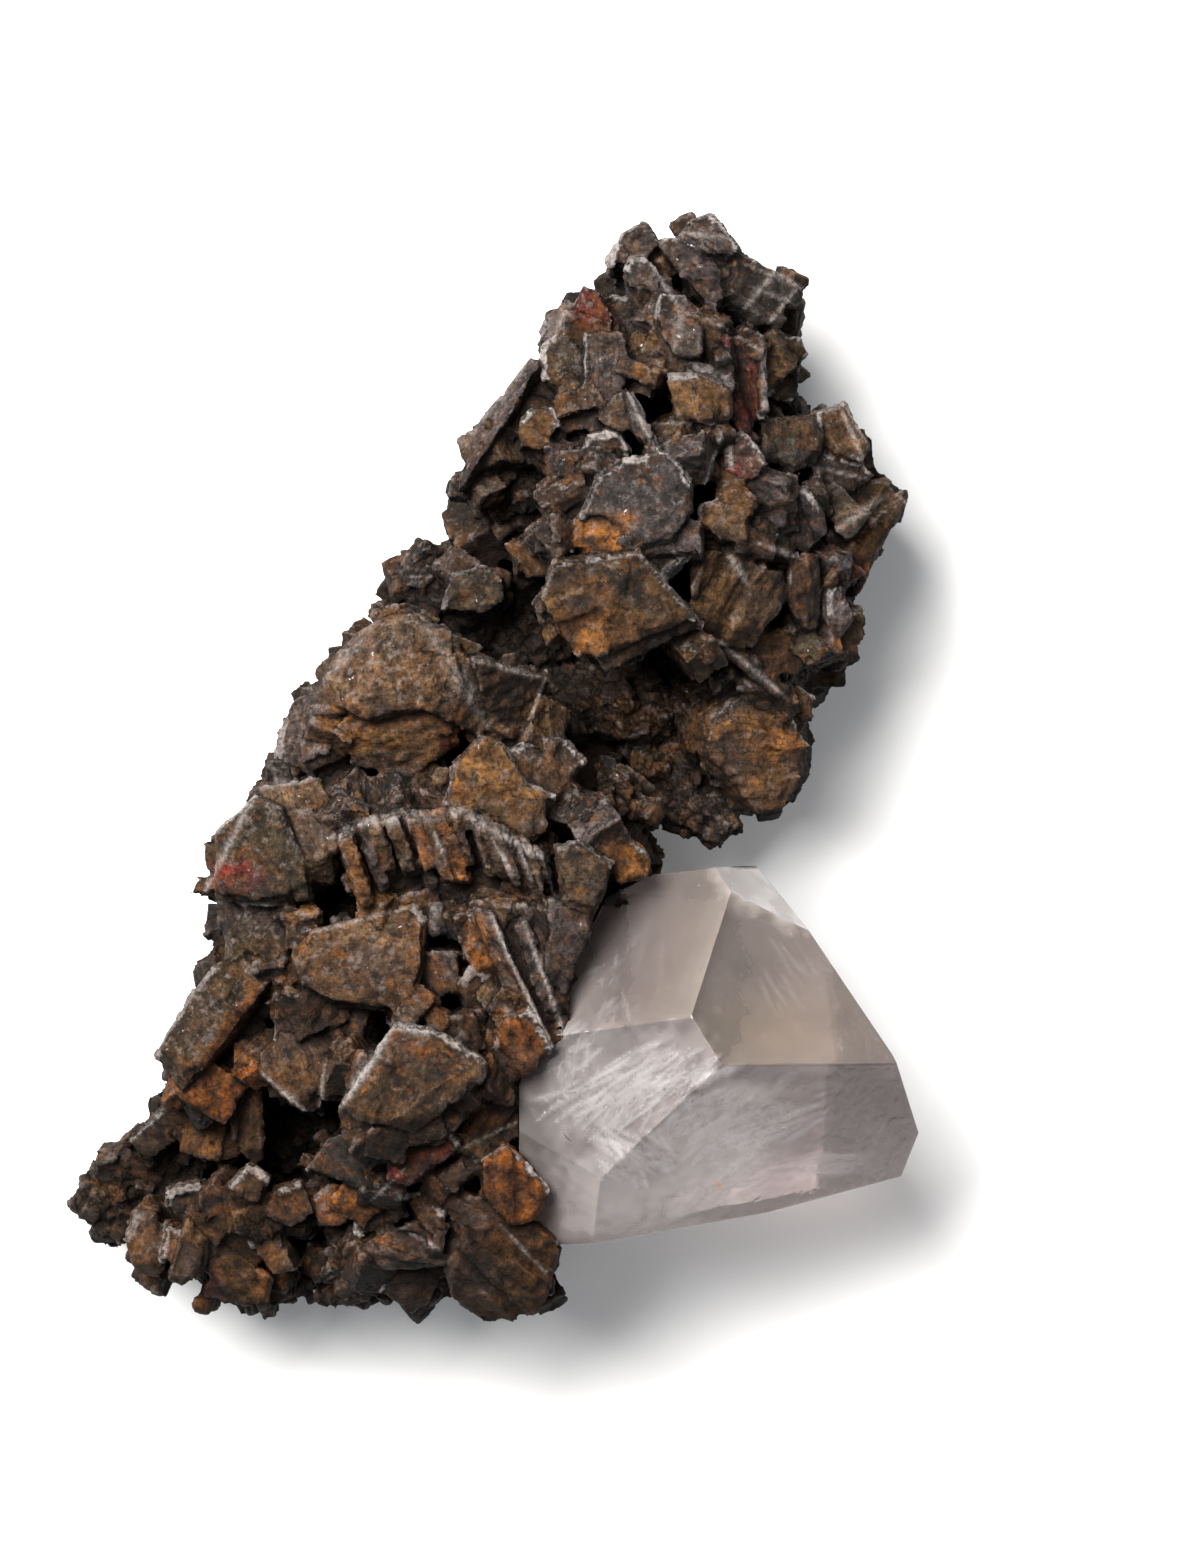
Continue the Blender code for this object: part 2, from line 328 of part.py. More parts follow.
# Where small crystals crowd on the masses: middle, radii in x and y, count
GRAIN_PATCHES = [
    ((-40.0, -42.5), (2.4, 4.2), 9),
    ((-34.0, -39.5), (3.0, 2.4), 5),
    ((-9.0, 19.5), (3.0, 4.0), 8),
    ((-1.5, 26.0), (4.0, 4.0), 9),
    ((4.0, 29.5), (3.4, 3.6), 6),
    ((2.5, 15.5), (3.6, 3.0), 5),
    ((4.5, 7.5), (3.6, 3.4), 8),
    ((13.0, 8.6), (5.4, 3.6), 15),
    ((19.5, 7.0), (3.0, 3.0), 7),
    ((16.5, 0.0), (5.4, 3.6), 9),
    ((21.0, -4.0), (3.6, 2.0), 4),
    ((-20.5, -36.0), (3.6, 4.4), 7),
    ((-16.0, -51.0), (6.0, 1.4), 6),
    ((-16.5, -47.5), (3.6, 2.4), 4),
    ((-27.0, -43.8), (2.4, 1.4), 3),
    ((-5.5, -20.5), (2.2, 4.0), 5),
    ((-1.0, -32.5), (2.4, 3.0), 5),
]
GRAIN_SIZES = (2.2, 3.8)

# Hollows that the side crystals keep out of: middle, radius, height of the floor
HOLLOWS = [
    ((1.0, 15.5), 7.0, 15.0),
    ((14.0, 5.0), 9.0, 20.0),
    ((17.0, 0.0), 8.0, 12.0),
    ((24.0, -3.0), 6.0, 18.0),
    ((-20.5, -36.0), 7.0, 14.0),
    ((-16.5, -11.0), 4.0, 24.0),
    ((-34.0, -40.0), 6.0, 20.0),
    ((-40.0, -42.0), 6.0, 16.0),
    ((-10.0, 20.0), 5.0, 20.0),
]

# Crystals down the sides: spacing along the outline, levels, sizes across, and how deep they sit in
SIDE_SPACING = 8.0
SIDE_LEVELS = (3.0, 10.0, 17.5, 25.0, 32.0)
SIDE_SIZES = (9.0, 13.5)
SIDE_PLATE = (0.45, 0.75)
SIDE_SETBACK = (0.2, 2.6)
SIDE_CLEAR_OF_TOP = 2.5


def clear_scene():
    """Remove the objects that a new scene opens with."""
    for obj in list(bpy.data.objects):
        bpy.data.objects.remove(obj, do_unlink=True)


def new_collection(name):
    """A collection linked to the scene."""
    collection = bpy.data.collections.new(name)
    bpy.context.scene.collection.children.link(collection)
    return collection


def new_material(name, finish):
    """A Principled material from a colour, a roughness and a metallic value."""
    colour, roughness, metallic = finish
    material = bpy.data.materials.new(name)
    material.use_nodes = True
    shader = material.node_tree.nodes["Principled BSDF"]
    shader.inputs["Base Color"].default_value = (*colour, 1.0)
    shader.inputs["Roughness"].default_value = roughness
    shader.inputs["Metallic"].default_value = metallic
    material.diffuse_color = (*colour, 1.0)
    return material


def to_object(bm, name, collection):
    """An object made from a bmesh that is in millimetres."""
    bmesh.ops.recalc_face_normals(bm, faces=bm.faces[:])
    bm.transform(Matrix.Scale(MM, 4))
    mesh = bpy.data.meshes.new(name)
    bm.to_mesh(mesh)
    bm.free()
    obj = bpy.data.objects.new(name, mesh)
    collection.objects.link(obj)
    return obj


def as_cutter(obj):
    """Mark an object that only shapes others."""
    obj.hide_render = True
    obj.display_type = "WIRE"
    return obj


def extruded(corners, bottom, top):
    """A straight-sided block over an outline."""
    bm = bmesh.new()
    verts = [bm.verts.new((x, y, bottom)) for x, y in corners]
    face = bm.faces.new(verts)
    made = bmesh.ops.extrude_face_region(bm, geom=[face])
    risen = [item for item in made["geom"] if isinstance(item, bmesh.types.BMVert)]
    bmesh.ops.translate(bm, verts=risen, vec=(0.0, 0.0, top - bottom))
    return bm


def crystal(height, slope, depth, lean, corners, foot=0.94):
    """A crystal hung from its outer face, drawn in a little towards its foot."""
    middle = sum((Vector(corner) for corner in corners), Vector((0.0, 0.0))) / len(corners)
    bm = bmesh.new()
    verts = []
    for x, y in corners:
        rise = slope[0] * (x - middle.x) + slope[1] * (y - middle.y)
        verts.append(bm.verts.new((x, y, height + rise)))
    face = bm.faces.new(verts)
    made = bmesh.ops.extrude_face_region(bm, geom=[face])
    foot_verts = [item for item in made["geom"] if isinstance(item, bmesh.types.BMVert)]
    centre = Vector((middle.x, middle.y, height))
    drop = Vector((lean[0] * depth, lean[1] * depth, -depth))
    for vert in foot_verts:
        offset = vert.co - centre
        vert.co = centre + Vector((offset.x * foot, offset.y * foot, offset.z * 0.4)) + drop
    return bm


def rounded_mass(middle, radii):
    """A rounded mass of matrix."""
    bm = bmesh.new()
    bmesh.ops.create_icosphere(bm, subdivisions=2, radius=1.0)
    bmesh.ops.scale(bm, vec=radii, verts=bm.verts)
    bmesh.ops.translate(bm, vec=middle, verts=bm.verts)
    return bm


def rhomb(size, spin, rng):
    """A small leaning block, the form of one cleavage rhomb."""
    bm = bmesh.new()
    bmesh.ops.create_cube(bm, size=1.0)
    stretch = (size, size * rng.uniform(0.75, 1.0), size * rng.uniform(*SIDE_PLATE))
    bmesh.ops.scale(bm, vec=stretch, verts=bm.verts)
    shear = Matrix.Shear("XY", 3, (rng.uniform(-0.25, 0.25), rng.uniform(-0.25, 0.25)))
    bm.transform(shear.to_4x4())
    bm.transform(spin)
    return bm


def random_spin(rng):
    """A seeded turn about all three axes."""
    angles = [rng.uniform(0.0, math.tau) for _ in range(3)]
    return Matrix.Rotation(angles[0], 4, "Z") @ Matrix.Rotation(angles[1], 4, "Y") @ Matrix.Rotation(
        angles[2], 4, "X")


def inside(x, y, outline):
    """Whether a point lies inside an outline."""
    found = False
    for (ax, ay), (bx, by) in zip(outline, outline[1:] + outline[:1]):
        if (ay > y) != (by > y) and x < ax + (y - ay) * (bx - ax) / (by - ay):
            found = not found
    return found


def top_height(x, y):
    """Height of the crystals' outer faces near a point, nearer ones counting most."""
    total = 0.0
    weight = 0.0
    for _, height, _, _, _, corners in CRYSTALS:
        middle_x = sum(corner[0] for corner in corners) / len(corners)
        middle_y = sum(corner[1] for corner in corners) / len(corners)
        share = 1.0 / (0.5 + (x - middle_x) ** 2 + (y - middle_y) ** 2) ** 2
        total += height * share
        weight += share
    ceilings = [pit_height for (pit_x, pit_y), radius, pit_height in HOLLOWS
                if math.hypot(x - pit_x, y - pit_y) < radius]
    return min([total / weight] + ceilings)


def mass_height(x, y):
    """Height of the matrix and its rounded masses at a point."""
    height = MATRIX_HEIGHT
    for middle, radii in MASSES:
        spread = ((x - middle[0]) / radii[0]) ** 2 + ((y - middle[1]) / radii[1]) ** 2
        if spread < 1.0:
            height = max(height, middle[2] + radii[2] * math.sqrt(1.0 - spread))
    return height


def move_inside(bm):
    """Slide a block towards the nearest mass until the crust's outline holds it, seen from above.

    A block that finds no room is made smaller and slides on.
    """
    for _ in range(4):
        middle = sum((vert.co for vert in bm.verts), Vector()) / len(bm.verts)
        nearest = min((Vector(mass) for mass, _ in MASSES), key=lambda mass: (mass - middle).xy.length)
        step = Vector((nearest.x - middle.x, nearest.y - middle.y, 0.0)).normalized() * 0.4
        for _ in range(12):
            if all(inside(vert.co.x, vert.co.y, CRUST_OUTLINE) for vert in bm.verts):
                return
            bmesh.ops.translate(bm, vec=step, verts=bm.verts)
        shrink = Matrix.Translation(middle) @ Matrix.Scale(0.8, 4) @ Matrix.Translation(-middle)
        bm.transform(shrink)


def outline_stations(spacing):
    """Points at an even spacing along the crust's outline, with the inward direction at each."""
    stations = []
    travelled = 0.0
    for start, end in zip(CRUST_OUTLINE, CRUST_OUTLINE[1:] + CRUST_OUTLINE[:1]):
        start = Vector(start)
        along = Vector(end) - start
        while travelled < along.length:
            point = start + along.normalized() * travelled
            inward = Vector((along.y, -along.x, 0.0)).normalized()
            stations.append((point, inward))
            travelled += spacing
        travelled -= along.length
    return stations


def side_crystals(rng):
    """Blocks stacked down the sides of the crust."""
    blocks = []
    for point, inward in outline_stations(SIDE_SPACING):
        for level in SIDE_LEVELS:
            size = rng.uniform(*SIDE_SIZES)
            setback = rng.uniform(*SIDE_SETBACK)
            bm = rhomb(size, random_spin(rng), rng)
            place = Vector((point.x, point.y, level + rng.uniform(-1.5, 1.5))) + inward * setback
            bmesh.ops.translate(bm, vec=place, verts=bm.verts)
            move_inside(bm)
            middle = sum((vert.co for vert in bm.verts), Vector()) / len(bm.verts)
            roof = top_height(middle.x, middle.y) - SIDE_CLEAR_OF_TOP
            if level > roof:
                bm.free()
                continue
            reach = max(vert.co.z for vert in bm.verts)
            if reach > roof:
                bmesh.ops.translate(bm, vec=(0.0, 0.0, roof - reach), verts=bm.verts)
            blocks.append(bm)
    return blocks


def grains(rng):
    """Small crystals crowded in the hollows."""
    blocks = []
    for (x, y), (reach_x, reach_y), count in GRAIN_PATCHES:
        for _ in range(count):
            turn = rng.uniform(0.0, math.tau)
            away = math.sqrt(rng.random())
            size = rng.uniform(*GRAIN_SIZES)
            bm = rhomb(size, random_spin(rng), rng)
            place = Vector((x + reach_x * away * math.cos(turn), y + reach_y * away * math.sin(turn), 0.0))
            place.z = mass_height(place.x, place.y) + 0.2 * size
            bmesh.ops.translate(bm, vec=place, verts=bm.verts)
            move_inside(bm)
            blocks.append(bm)
    return blocks


def plane_normal(slope, upward):
    """The outward normal of a plane given by its rise in x and y."""
    normal = Vector((-slope[0], -slope[1], 1.0)).normalized()
    return normal if upward else -normal


def quartz_planes():
    """Every face of the quartz as a point and an outward normal."""
    planes = [(Vector(point), plane_normal(slope, True)) for point, slope in QUARTZ_TOP_FACES]
    planes += [(Vector(point), plane_normal(slope, False)) for point, slope in QUARTZ_UNDER_FACES]
    for start, end, draw_in in QUARTZ_SIDES:
        along = Vector((end[0] - start[0], end[1] - start[1], 0.0))
        outward = Vector((-along.y, along.x, 0.0)).normalized()
        normal = (outward - Vector((0.0, 0.0, draw_in))).normalized()
        planes.append((Vector((start[0], start[1], 33.0)), normal))
    return planes


def quartz_form(grown=0.0):
    """The quartz crystal: a large block cut by each of its faces."""
    bm = bmesh.new()
    bmesh.ops.create_cube(bm, size=140.0)
    for point, normal in quartz_planes():
        geometry = bm.verts[:] + bm.edges[:] + bm.faces[:]
        cut = bmesh.ops.bisect_plane(
            bm, geom=geometry, dist=1e-5, plane_co=point + normal * grown, plane_no=normal,
            clear_outer=True)
        rim = [item for item in cut["geom_cut"] if isinstance(item, bmesh.types.BMEdge)]
        if rim:
            bmesh.ops.edgeloop_fill(bm, edges=rim)
    return bm


def bake_modifiers(obj):
    """Replace an object's mesh by the mesh that its modifiers make."""
    bpy.context.view_layer.update()
    evaluated = obj.evaluated_get(bpy.context.evaluated_depsgraph_get())
    mesh = bpy.data.meshes.new_from_object(evaluated)
    obj.modifiers.clear()
    obj.data = mesh


def boolean(obj, operation, collection):
    """Join or cut an object by a whole collection, and keep the result as its mesh."""
    modifier = obj.modifiers.new(operation.title(), "BOOLEAN")
    modifier.operation = operation
    modifier.solver = "EXACT"
    modifier.operand_type = "COLLECTION"
    modifier.collection = collection
    bake_modifiers(obj)


def shell_volume(faces):
    """Signed volume of one closed shell."""
    total = 0.0
    for face in faces:
        first = face.verts[0].co
        for near, far in zip(face.verts[1:], face.verts[2:]):
            total += first.dot(near.co.cross(far.co)) / 6.0
    return total


def keep_main_shell(bm):
    """Delete loose crumbs and sealed hollows, so that one outer shell is left."""
    unseen = set(bm.faces)
    shells = []
    while unseen:
        shell = []
        front = [unseen.pop()]
        while front:
            face = front.pop()
            shell.append(face)
            for edge in face.edges:
                for other in edge.link_faces:
                    if other in unseen:
                        unseen.remove(other)
                        front.append(other)
        shells.append(shell)
    shells.sort(key=shell_volume)
    for shell in shells[:-1]:
        bmesh.ops.delete(bm, geom=shell, context="FACES")


def remove_folded_pairs(bm):
    """Delete faces that lie back to back on the same three corners."""
    seen = {}
    folded = []
    for face in bm.faces:
        corners = frozenset(face.verts)
        if corners in seen:
            folded += [face, seen.pop(corners)]
        else:
            seen[corners] = face
    bmesh.ops.delete(bm, geom=folded, context="FACES")
    bmesh.ops.delete(bm, geom=[edge for edge in bm.edges if not edge.link_faces], context="EDGES")
    bmesh.ops.delete(bm, geom=[vert for vert in bm.verts if not vert.link_edges], context="VERTS")


def tidy_solid(obj):
    """Keep one closed shell of triangles."""
    bm = bmesh.new()
    bm.from_mesh(obj.data)
    keep_main_shell(bm)
    bmesh.ops.triangulate(bm, faces=bm.faces[:])
    remove_folded_pairs(bm)
    bm.to_mesh(obj.data)
    bm.free()


def thin_out(obj, kept_share):
    """Take triangles away where that changes the form least."""
    thinned = obj.modifiers.new("Thinned", "DECIMATE")
    thinned.ratio = kept_share
    bake_modifiers(obj)


def level_base(obj):
    """Put every corner that lies within a hair of the flat cut exactly on it."""
    for vert in obj.data.vertices:
        if abs(vert.co.z) < LEVEL_WITHIN * MM:
            vert.co.z = 0.0


def build_crust(specimen, cutters):
    """The crust: matrix and crystals joined, cut flat behind, with the quartz's place cut out."""
    rng = random.Random(SEED)
    joined = bpy.data.collections.new("crust_shapes")
    cutters.children.link(joined)
    removed = bpy.data.collections.new("crust_cuts")
    cutters.children.link(removed)
    crust = to_object(extruded(MATRIX_OUTLINE, -3.0, MATRIX_HEIGHT), "albite_crust", specimen)
    shapes = [rounded_mass(middle, radii) for middle, radii in MASSES]
    shapes += [crystal(height, slope, depth, lean, corners)
               for _, height, slope, depth, lean, corners in CRYSTALS]
    shapes += side_crystals(rng)
    shapes += grains(rng)
    for index, bm in enumerate(shapes):
        as_cutter(to_object(bm, f"shape_{index:03d}", joined))
    boolean(crust, "UNION", joined)
    below = [(-80, -80), (80, -80), (80, 80), (-80, 80)]
    as_cutter(to_object(extruded(below, -40.0, 0.0), "flat_cut", removed))
    as_cutter(to_object(quartz_form(GAP), "quartz_place", removed))
    boolean(crust, "DIFFERENCE", removed)
    tidy_solid(crust)
    thin_out(crust, KEPT_SHARE)
    level_base(crust)
    crust.data.materials.clear()
    crust.data.materials.append(new_material("iron_stained_albite", ALBITE_FINISH))
    return crust


def build_quartz(specimen):
    """The quartz crystal, one solid with flat faces."""
    quartz = to_object(quartz_form(), "quartz_crystal", specimen)
    quartz.data.materials.append(new_material("clear_quartz", QUARTZ_FINISH))
    return quartz


def main():
    """Build the specimen."""
    clear_scene()
    specimen = new_collection("quartz_with_albite")
    cutters = new_collection("cutters")
    build_quartz(specimen)
    build_crust(specimen, cutters)
    for obj in list(cutters.all_objects):
        bpy.data.objects.remove(obj, do_unlink=True)


main()
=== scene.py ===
"""Looks of a quartz crystal on a crust of albite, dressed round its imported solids.

The scene is in metres, +Z up. The lists below are in millimetres, as is all that is worked out before
a mesh is made.
"""

import json
import math
import random

import bmesh
import bpy
import numpy as np
from mathutils import Matrix, Vector
from mathutils.bvhtree import BVHTree
from mathutils.kdtree import KDTree

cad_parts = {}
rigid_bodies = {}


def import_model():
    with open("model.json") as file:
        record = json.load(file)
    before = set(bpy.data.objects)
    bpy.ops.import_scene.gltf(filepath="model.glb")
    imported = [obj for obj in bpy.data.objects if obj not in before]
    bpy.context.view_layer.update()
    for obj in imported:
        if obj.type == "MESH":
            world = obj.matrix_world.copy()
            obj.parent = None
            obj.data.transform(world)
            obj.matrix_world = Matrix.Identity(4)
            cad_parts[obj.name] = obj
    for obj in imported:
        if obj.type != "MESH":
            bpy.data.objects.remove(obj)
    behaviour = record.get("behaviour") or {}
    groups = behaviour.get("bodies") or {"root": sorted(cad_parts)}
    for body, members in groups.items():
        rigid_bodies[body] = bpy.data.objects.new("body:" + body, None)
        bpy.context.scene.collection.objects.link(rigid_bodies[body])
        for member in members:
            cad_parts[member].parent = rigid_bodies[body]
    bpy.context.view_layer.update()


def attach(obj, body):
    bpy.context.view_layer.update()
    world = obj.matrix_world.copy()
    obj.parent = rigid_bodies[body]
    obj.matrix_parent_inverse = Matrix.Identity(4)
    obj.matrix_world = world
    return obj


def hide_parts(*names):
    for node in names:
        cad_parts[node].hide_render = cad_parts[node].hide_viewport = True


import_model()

MM = 0.001
SEED = 5

# Camera: it looks straight down at this point, and its picture is this tall at that height
VIEW_MIDDLE = (10.0, 0.45)
VIEW_TALL = 155.1
VIEW_HEIGHT = 25.0
CAMERA_ABOVE = 1150.0
CAMERA_SENSOR = 36.0

# Studio, in metres: lights with their place, size, power and colour, what they look at, the light from
# all round, and the floor
LIGHTS = [
    ("key", (-0.36, 0.36, 1.0), 0.60, 32.0, (1.0, 0.985, 0.96)),
    ("fill", (0.9, -0.4, 0.9), 0.9, 4.0, (0.95, 0.97, 1.0)),
]
LIGHT_AIM = (0.0, 0.0, 0.02)
SKY_COLOUR = (0.95, 0.97, 1.0)
SKY_STRENGTH = 0.24
FLOOR_REACH = 3.0
FLOOR_GREY = (0.86, 0.86, 0.86)

VOXEL = 0.28
CRUST_PIECES = 5
CRUST_TRIANGLES = 840000

# The core under the crystals: its voxel, how far it is drawn in and how far down, each from nothing at
# its first height to all of it at its second
CORE_VOXEL = 0.6
CORE_WEAR = 1.1
CORE_WEAR_HEIGHTS = (6.0, 18.0)
CORE_DROP = 4.5
CORE_DROP_HEIGHTS = (13.0, 26.0)

# Points of the crust this low are put on the floor, and a point this near a crystal belongs to it
GROUND_SNAP = 0.06
OWNER_REACH = 0.5

# The grid on which the tops of the crust are gathered: its first corner and its cells of one millimetre
TOPS_CORNER = (-65.0, -75.0)
TOPS_CELLS = (130, 150)
TOPS_ROUNDS = 14

# The side that carries pale dust and painted light, as a direction, with painted shade on the faces
# turned from it, and how much less of each there is towards the ends in y
LIGHT_AND_DUST_FROM = (-0.42, 0.82, 0.38)
END_LIGHT_AND_DUST = [((-12.0, -32.0), 0.42), ((10.0, 18.0), 0.16)]

# How much darker the stains are towards the ends in y
END_TONES = [((10.0, 18.0), (0.24, 0.22, 0.18)), ((-12.0, -22.0), (0.26, 0.36, 0.48))]

# Quartz: how near the crust comes to it, the width of its broken edges, and the longest edges of its
# mesh above and under the height where it comes out of the crust
QUARTZ_CONTACT = 0.12
QUARTZ_BEVEL = 0.08
QUARTZ_EDGE = 0.45
QUARTZ_HIDDEN_EDGE = 3.0
QUARTZ_SEEN_ABOVE = 24.0
QUARTZ_ROUNDS = 9

# The block that the faces of the quartz are cut from
QUARTZ_BLOCK = 140.0

# Upper faces of the quartz: a point of each and its rise in x and y
QUARTZ_TOP_FACES = [
    ((19.0, -23.2, 43.0), (0.50, -0.76)),
    ((19.0, -23.2, 43.0), (-0.45, -0.45)),
    ((19.0, -23.2, 43.0), (0.38, 0.04)),
    ((21.8, -28.0, 43.9), (-0.45, 0.90)),
    ((22.8, -11.0, 35.8), (-1.12, -1.79)),
    ((5.0, -36.4, 37.15), (0.78, 0.74)),
]
LEFT_FACE, RIGHT_FACE, VEILED_FACE, LOW_FACE, MILKY_FACE = range(5)

# Start and end of each upright face at mid height, and how far it draws in below
QUARTZ_SIDES = [
    ((10.9, -11.2), (15.0, -9.3), 0.10),
    ((15.0, -9.3), (26.2, -8.2), 0.06),
    ((26.2, -8.2), (38.9, -27.8), 0.14),
    ((38.9, -27.8), (42.3, -35.0), 0.12),
    ((42.3, -35.0), (40.6, -40.8), 0.10),
    ((40.6, -40.8), (28.0, -43.7), 0.16),
    ((28.0, -43.7), (6.0, -46.5), 0.14),
    ((2.0, -41.0), (2.0, -30.0), 0.0),
    ((2.0, -30.0), (10.9, -11.2), 0.0),
]
QUARTZ_MID_HEIGHT = 33.0
QUARTZ_UNDER_FACES = [
    ((14.0, -30.0, 7.0), (0.05, 0.02)),
    ((30.0, -30.0, 8.5), (0.62, 0.05)),
    ((20.0, -38.0, 8.5), (0.10, -0.70)),
    ((22.0, -16.0, 9.0), (0.15, 0.60)),
]

# Feathers in the quartz, groups of white strokes: middle, radii, turn and its spread in degrees,
# count, lengths, strength
FEATHERS = [
    ((17.0, -28.2), (5.0, 2.4), 38, 9, 80, (1.5, 5.0), 0.9),
    ((12.5, -31.0), (6.0, 2.6), 36, 10, 70, (1.5, 4.5), 0.8),
    ((28.0, -33.0), (4.6, 1.6), 20, 7, 40, (2.5, 6.5), 0.8),
    ((22.5, -33.0), (4.0, 2.6), 30, 12, 44, (1.5, 4.5), 0.7),
    ((8.0, -26.6), (3.0, 3.0), 50, 25, 40, (0.6, 2.0), 0.7),
    ((11.0, -20.5), (2.2, 4.0), 65, 25, 22, (0.5, 1.6), 0.5),
    ((24.0, -38.0), (4.0, 2.4), 15, 16, 26, (1.0, 3.0), 0.5),
    ((13.5, -37.5), (4.0, 3.0), -35, 22, 60, (1.0, 3.5), 0.8),
    ((28.0, -20.0), (4.0, 4.0), -55, 6, 12, (1.5, 4.0), 0.35),
    ((14.0, -15.0), (2.5, 2.5), 60, 10, 8, (1.5, 4.0), 0.25),
    ((33.0, -38.2), (3.4, 1.4), 5, 5, 14, (2.0, 4.5), 0.5),
]

# Milky clouds in the quartz: middle, radii, turn in degrees, strength
CLOUDS = [
    ((20.5, -36.2), (7.0, 5.0), 10, 0.60),
    ((23.5, -31.0), (5.0, 1.8), 12, 0.50),
    ((10.0, -29.0), (6.0, 5.0), 20, 0.35),
    ((12.0, -36.8), (3.6, 1.9), -35, 0.6),
    ((16.2, -35.6), (2.6, 1.6), -40, 0.6),
    ((20.5, -29.4), (1.8, 0.7), 30, 0.9),
    ((22.6, -28.5), (1.3, 0.5), 20, 0.9),
    ((12.0, -40.5), (7.5, 4.0), -15, 0.55),
    ((13.0, -30.0), (8.0, 3.6), 35, 0.50),
    ((24.0, -34.5), (5.5, 2.5), 20, 0.35),
    ((8.0, -44.0), (3.0, 1.6), 5, 0.45),
    ((33.0, -38.2), (3.6, 1.5), 3, 0.30),
    ((24.5, -10.5), (3.2, 2.2), -40, 0.9),
    ((28.2, -12.6), (2.6, 1.6), -55, 0.9),
]

# Dark specks and dashes in the quartz: start, end, half width
DASHES = [
    ((15.4, -24.6), (16.1, -24.9), 0.20),
    ((9.5, -20.3), (10.2, -20.0), 0.16),
    ((7.6, -28.0), (8.0, -28.6), 0.16),
    ((3.4, -32.7), (3.9, -33.4), 0.20),
    ((18.5, -27.3), (19.0, -27.8), 0.16),
    ((6.4, -35.0), (7.1, -35.7), 0.22),
    ((17.4, -31.6), (19.6, -30.0), 0.13),
    ((18.6, -31.9), (20.6, -30.6), 0.10),
    ((5.4, -29.2), (7.0, -27.4), 0.12),
    ((10.6, -24.0), (11.6, -22.8), 0.10),
    ((14.6, -31.6), (16.4, -30.4), 0.09),
    ((22.5, -8.5), (25.5, -8.7), 0.30),
    ((28.0, -19.4), (28.8, -20.6), 0.10),
]

# Painted light and shade on the quartz: how light each upper face is made
QUARTZ_FACE_SHADES = (0.52, 0.85, 0.63, 0.85, 0.87, 0.75)

# Stain colours of the albite, linear light
KINDS = {
    "ochre": (0.090, 0.043, 0.014),
    "tan": (0.088, 0.051, 0.026),
    "brown": (0.046, 0.022, 0.010),
    "olive": (0.042, 0.027, 0.013),
    "grey": (0.044, 0.036, 0.033),
    "mauve": (0.060, 0.043, 0.038),
    "orange": (0.210, 0.075, 0.014),
    "brick": (0.105, 0.014, 0.008),
    "dark": (0.017, 0.012, 0.009),
    "pale": (0.190, 0.155, 0.142),
}
SIDE_KINDS = ("ochre", "brown", "olive", "brown", "tan", "ochre", "mauve", "dark", "grey", "brown")

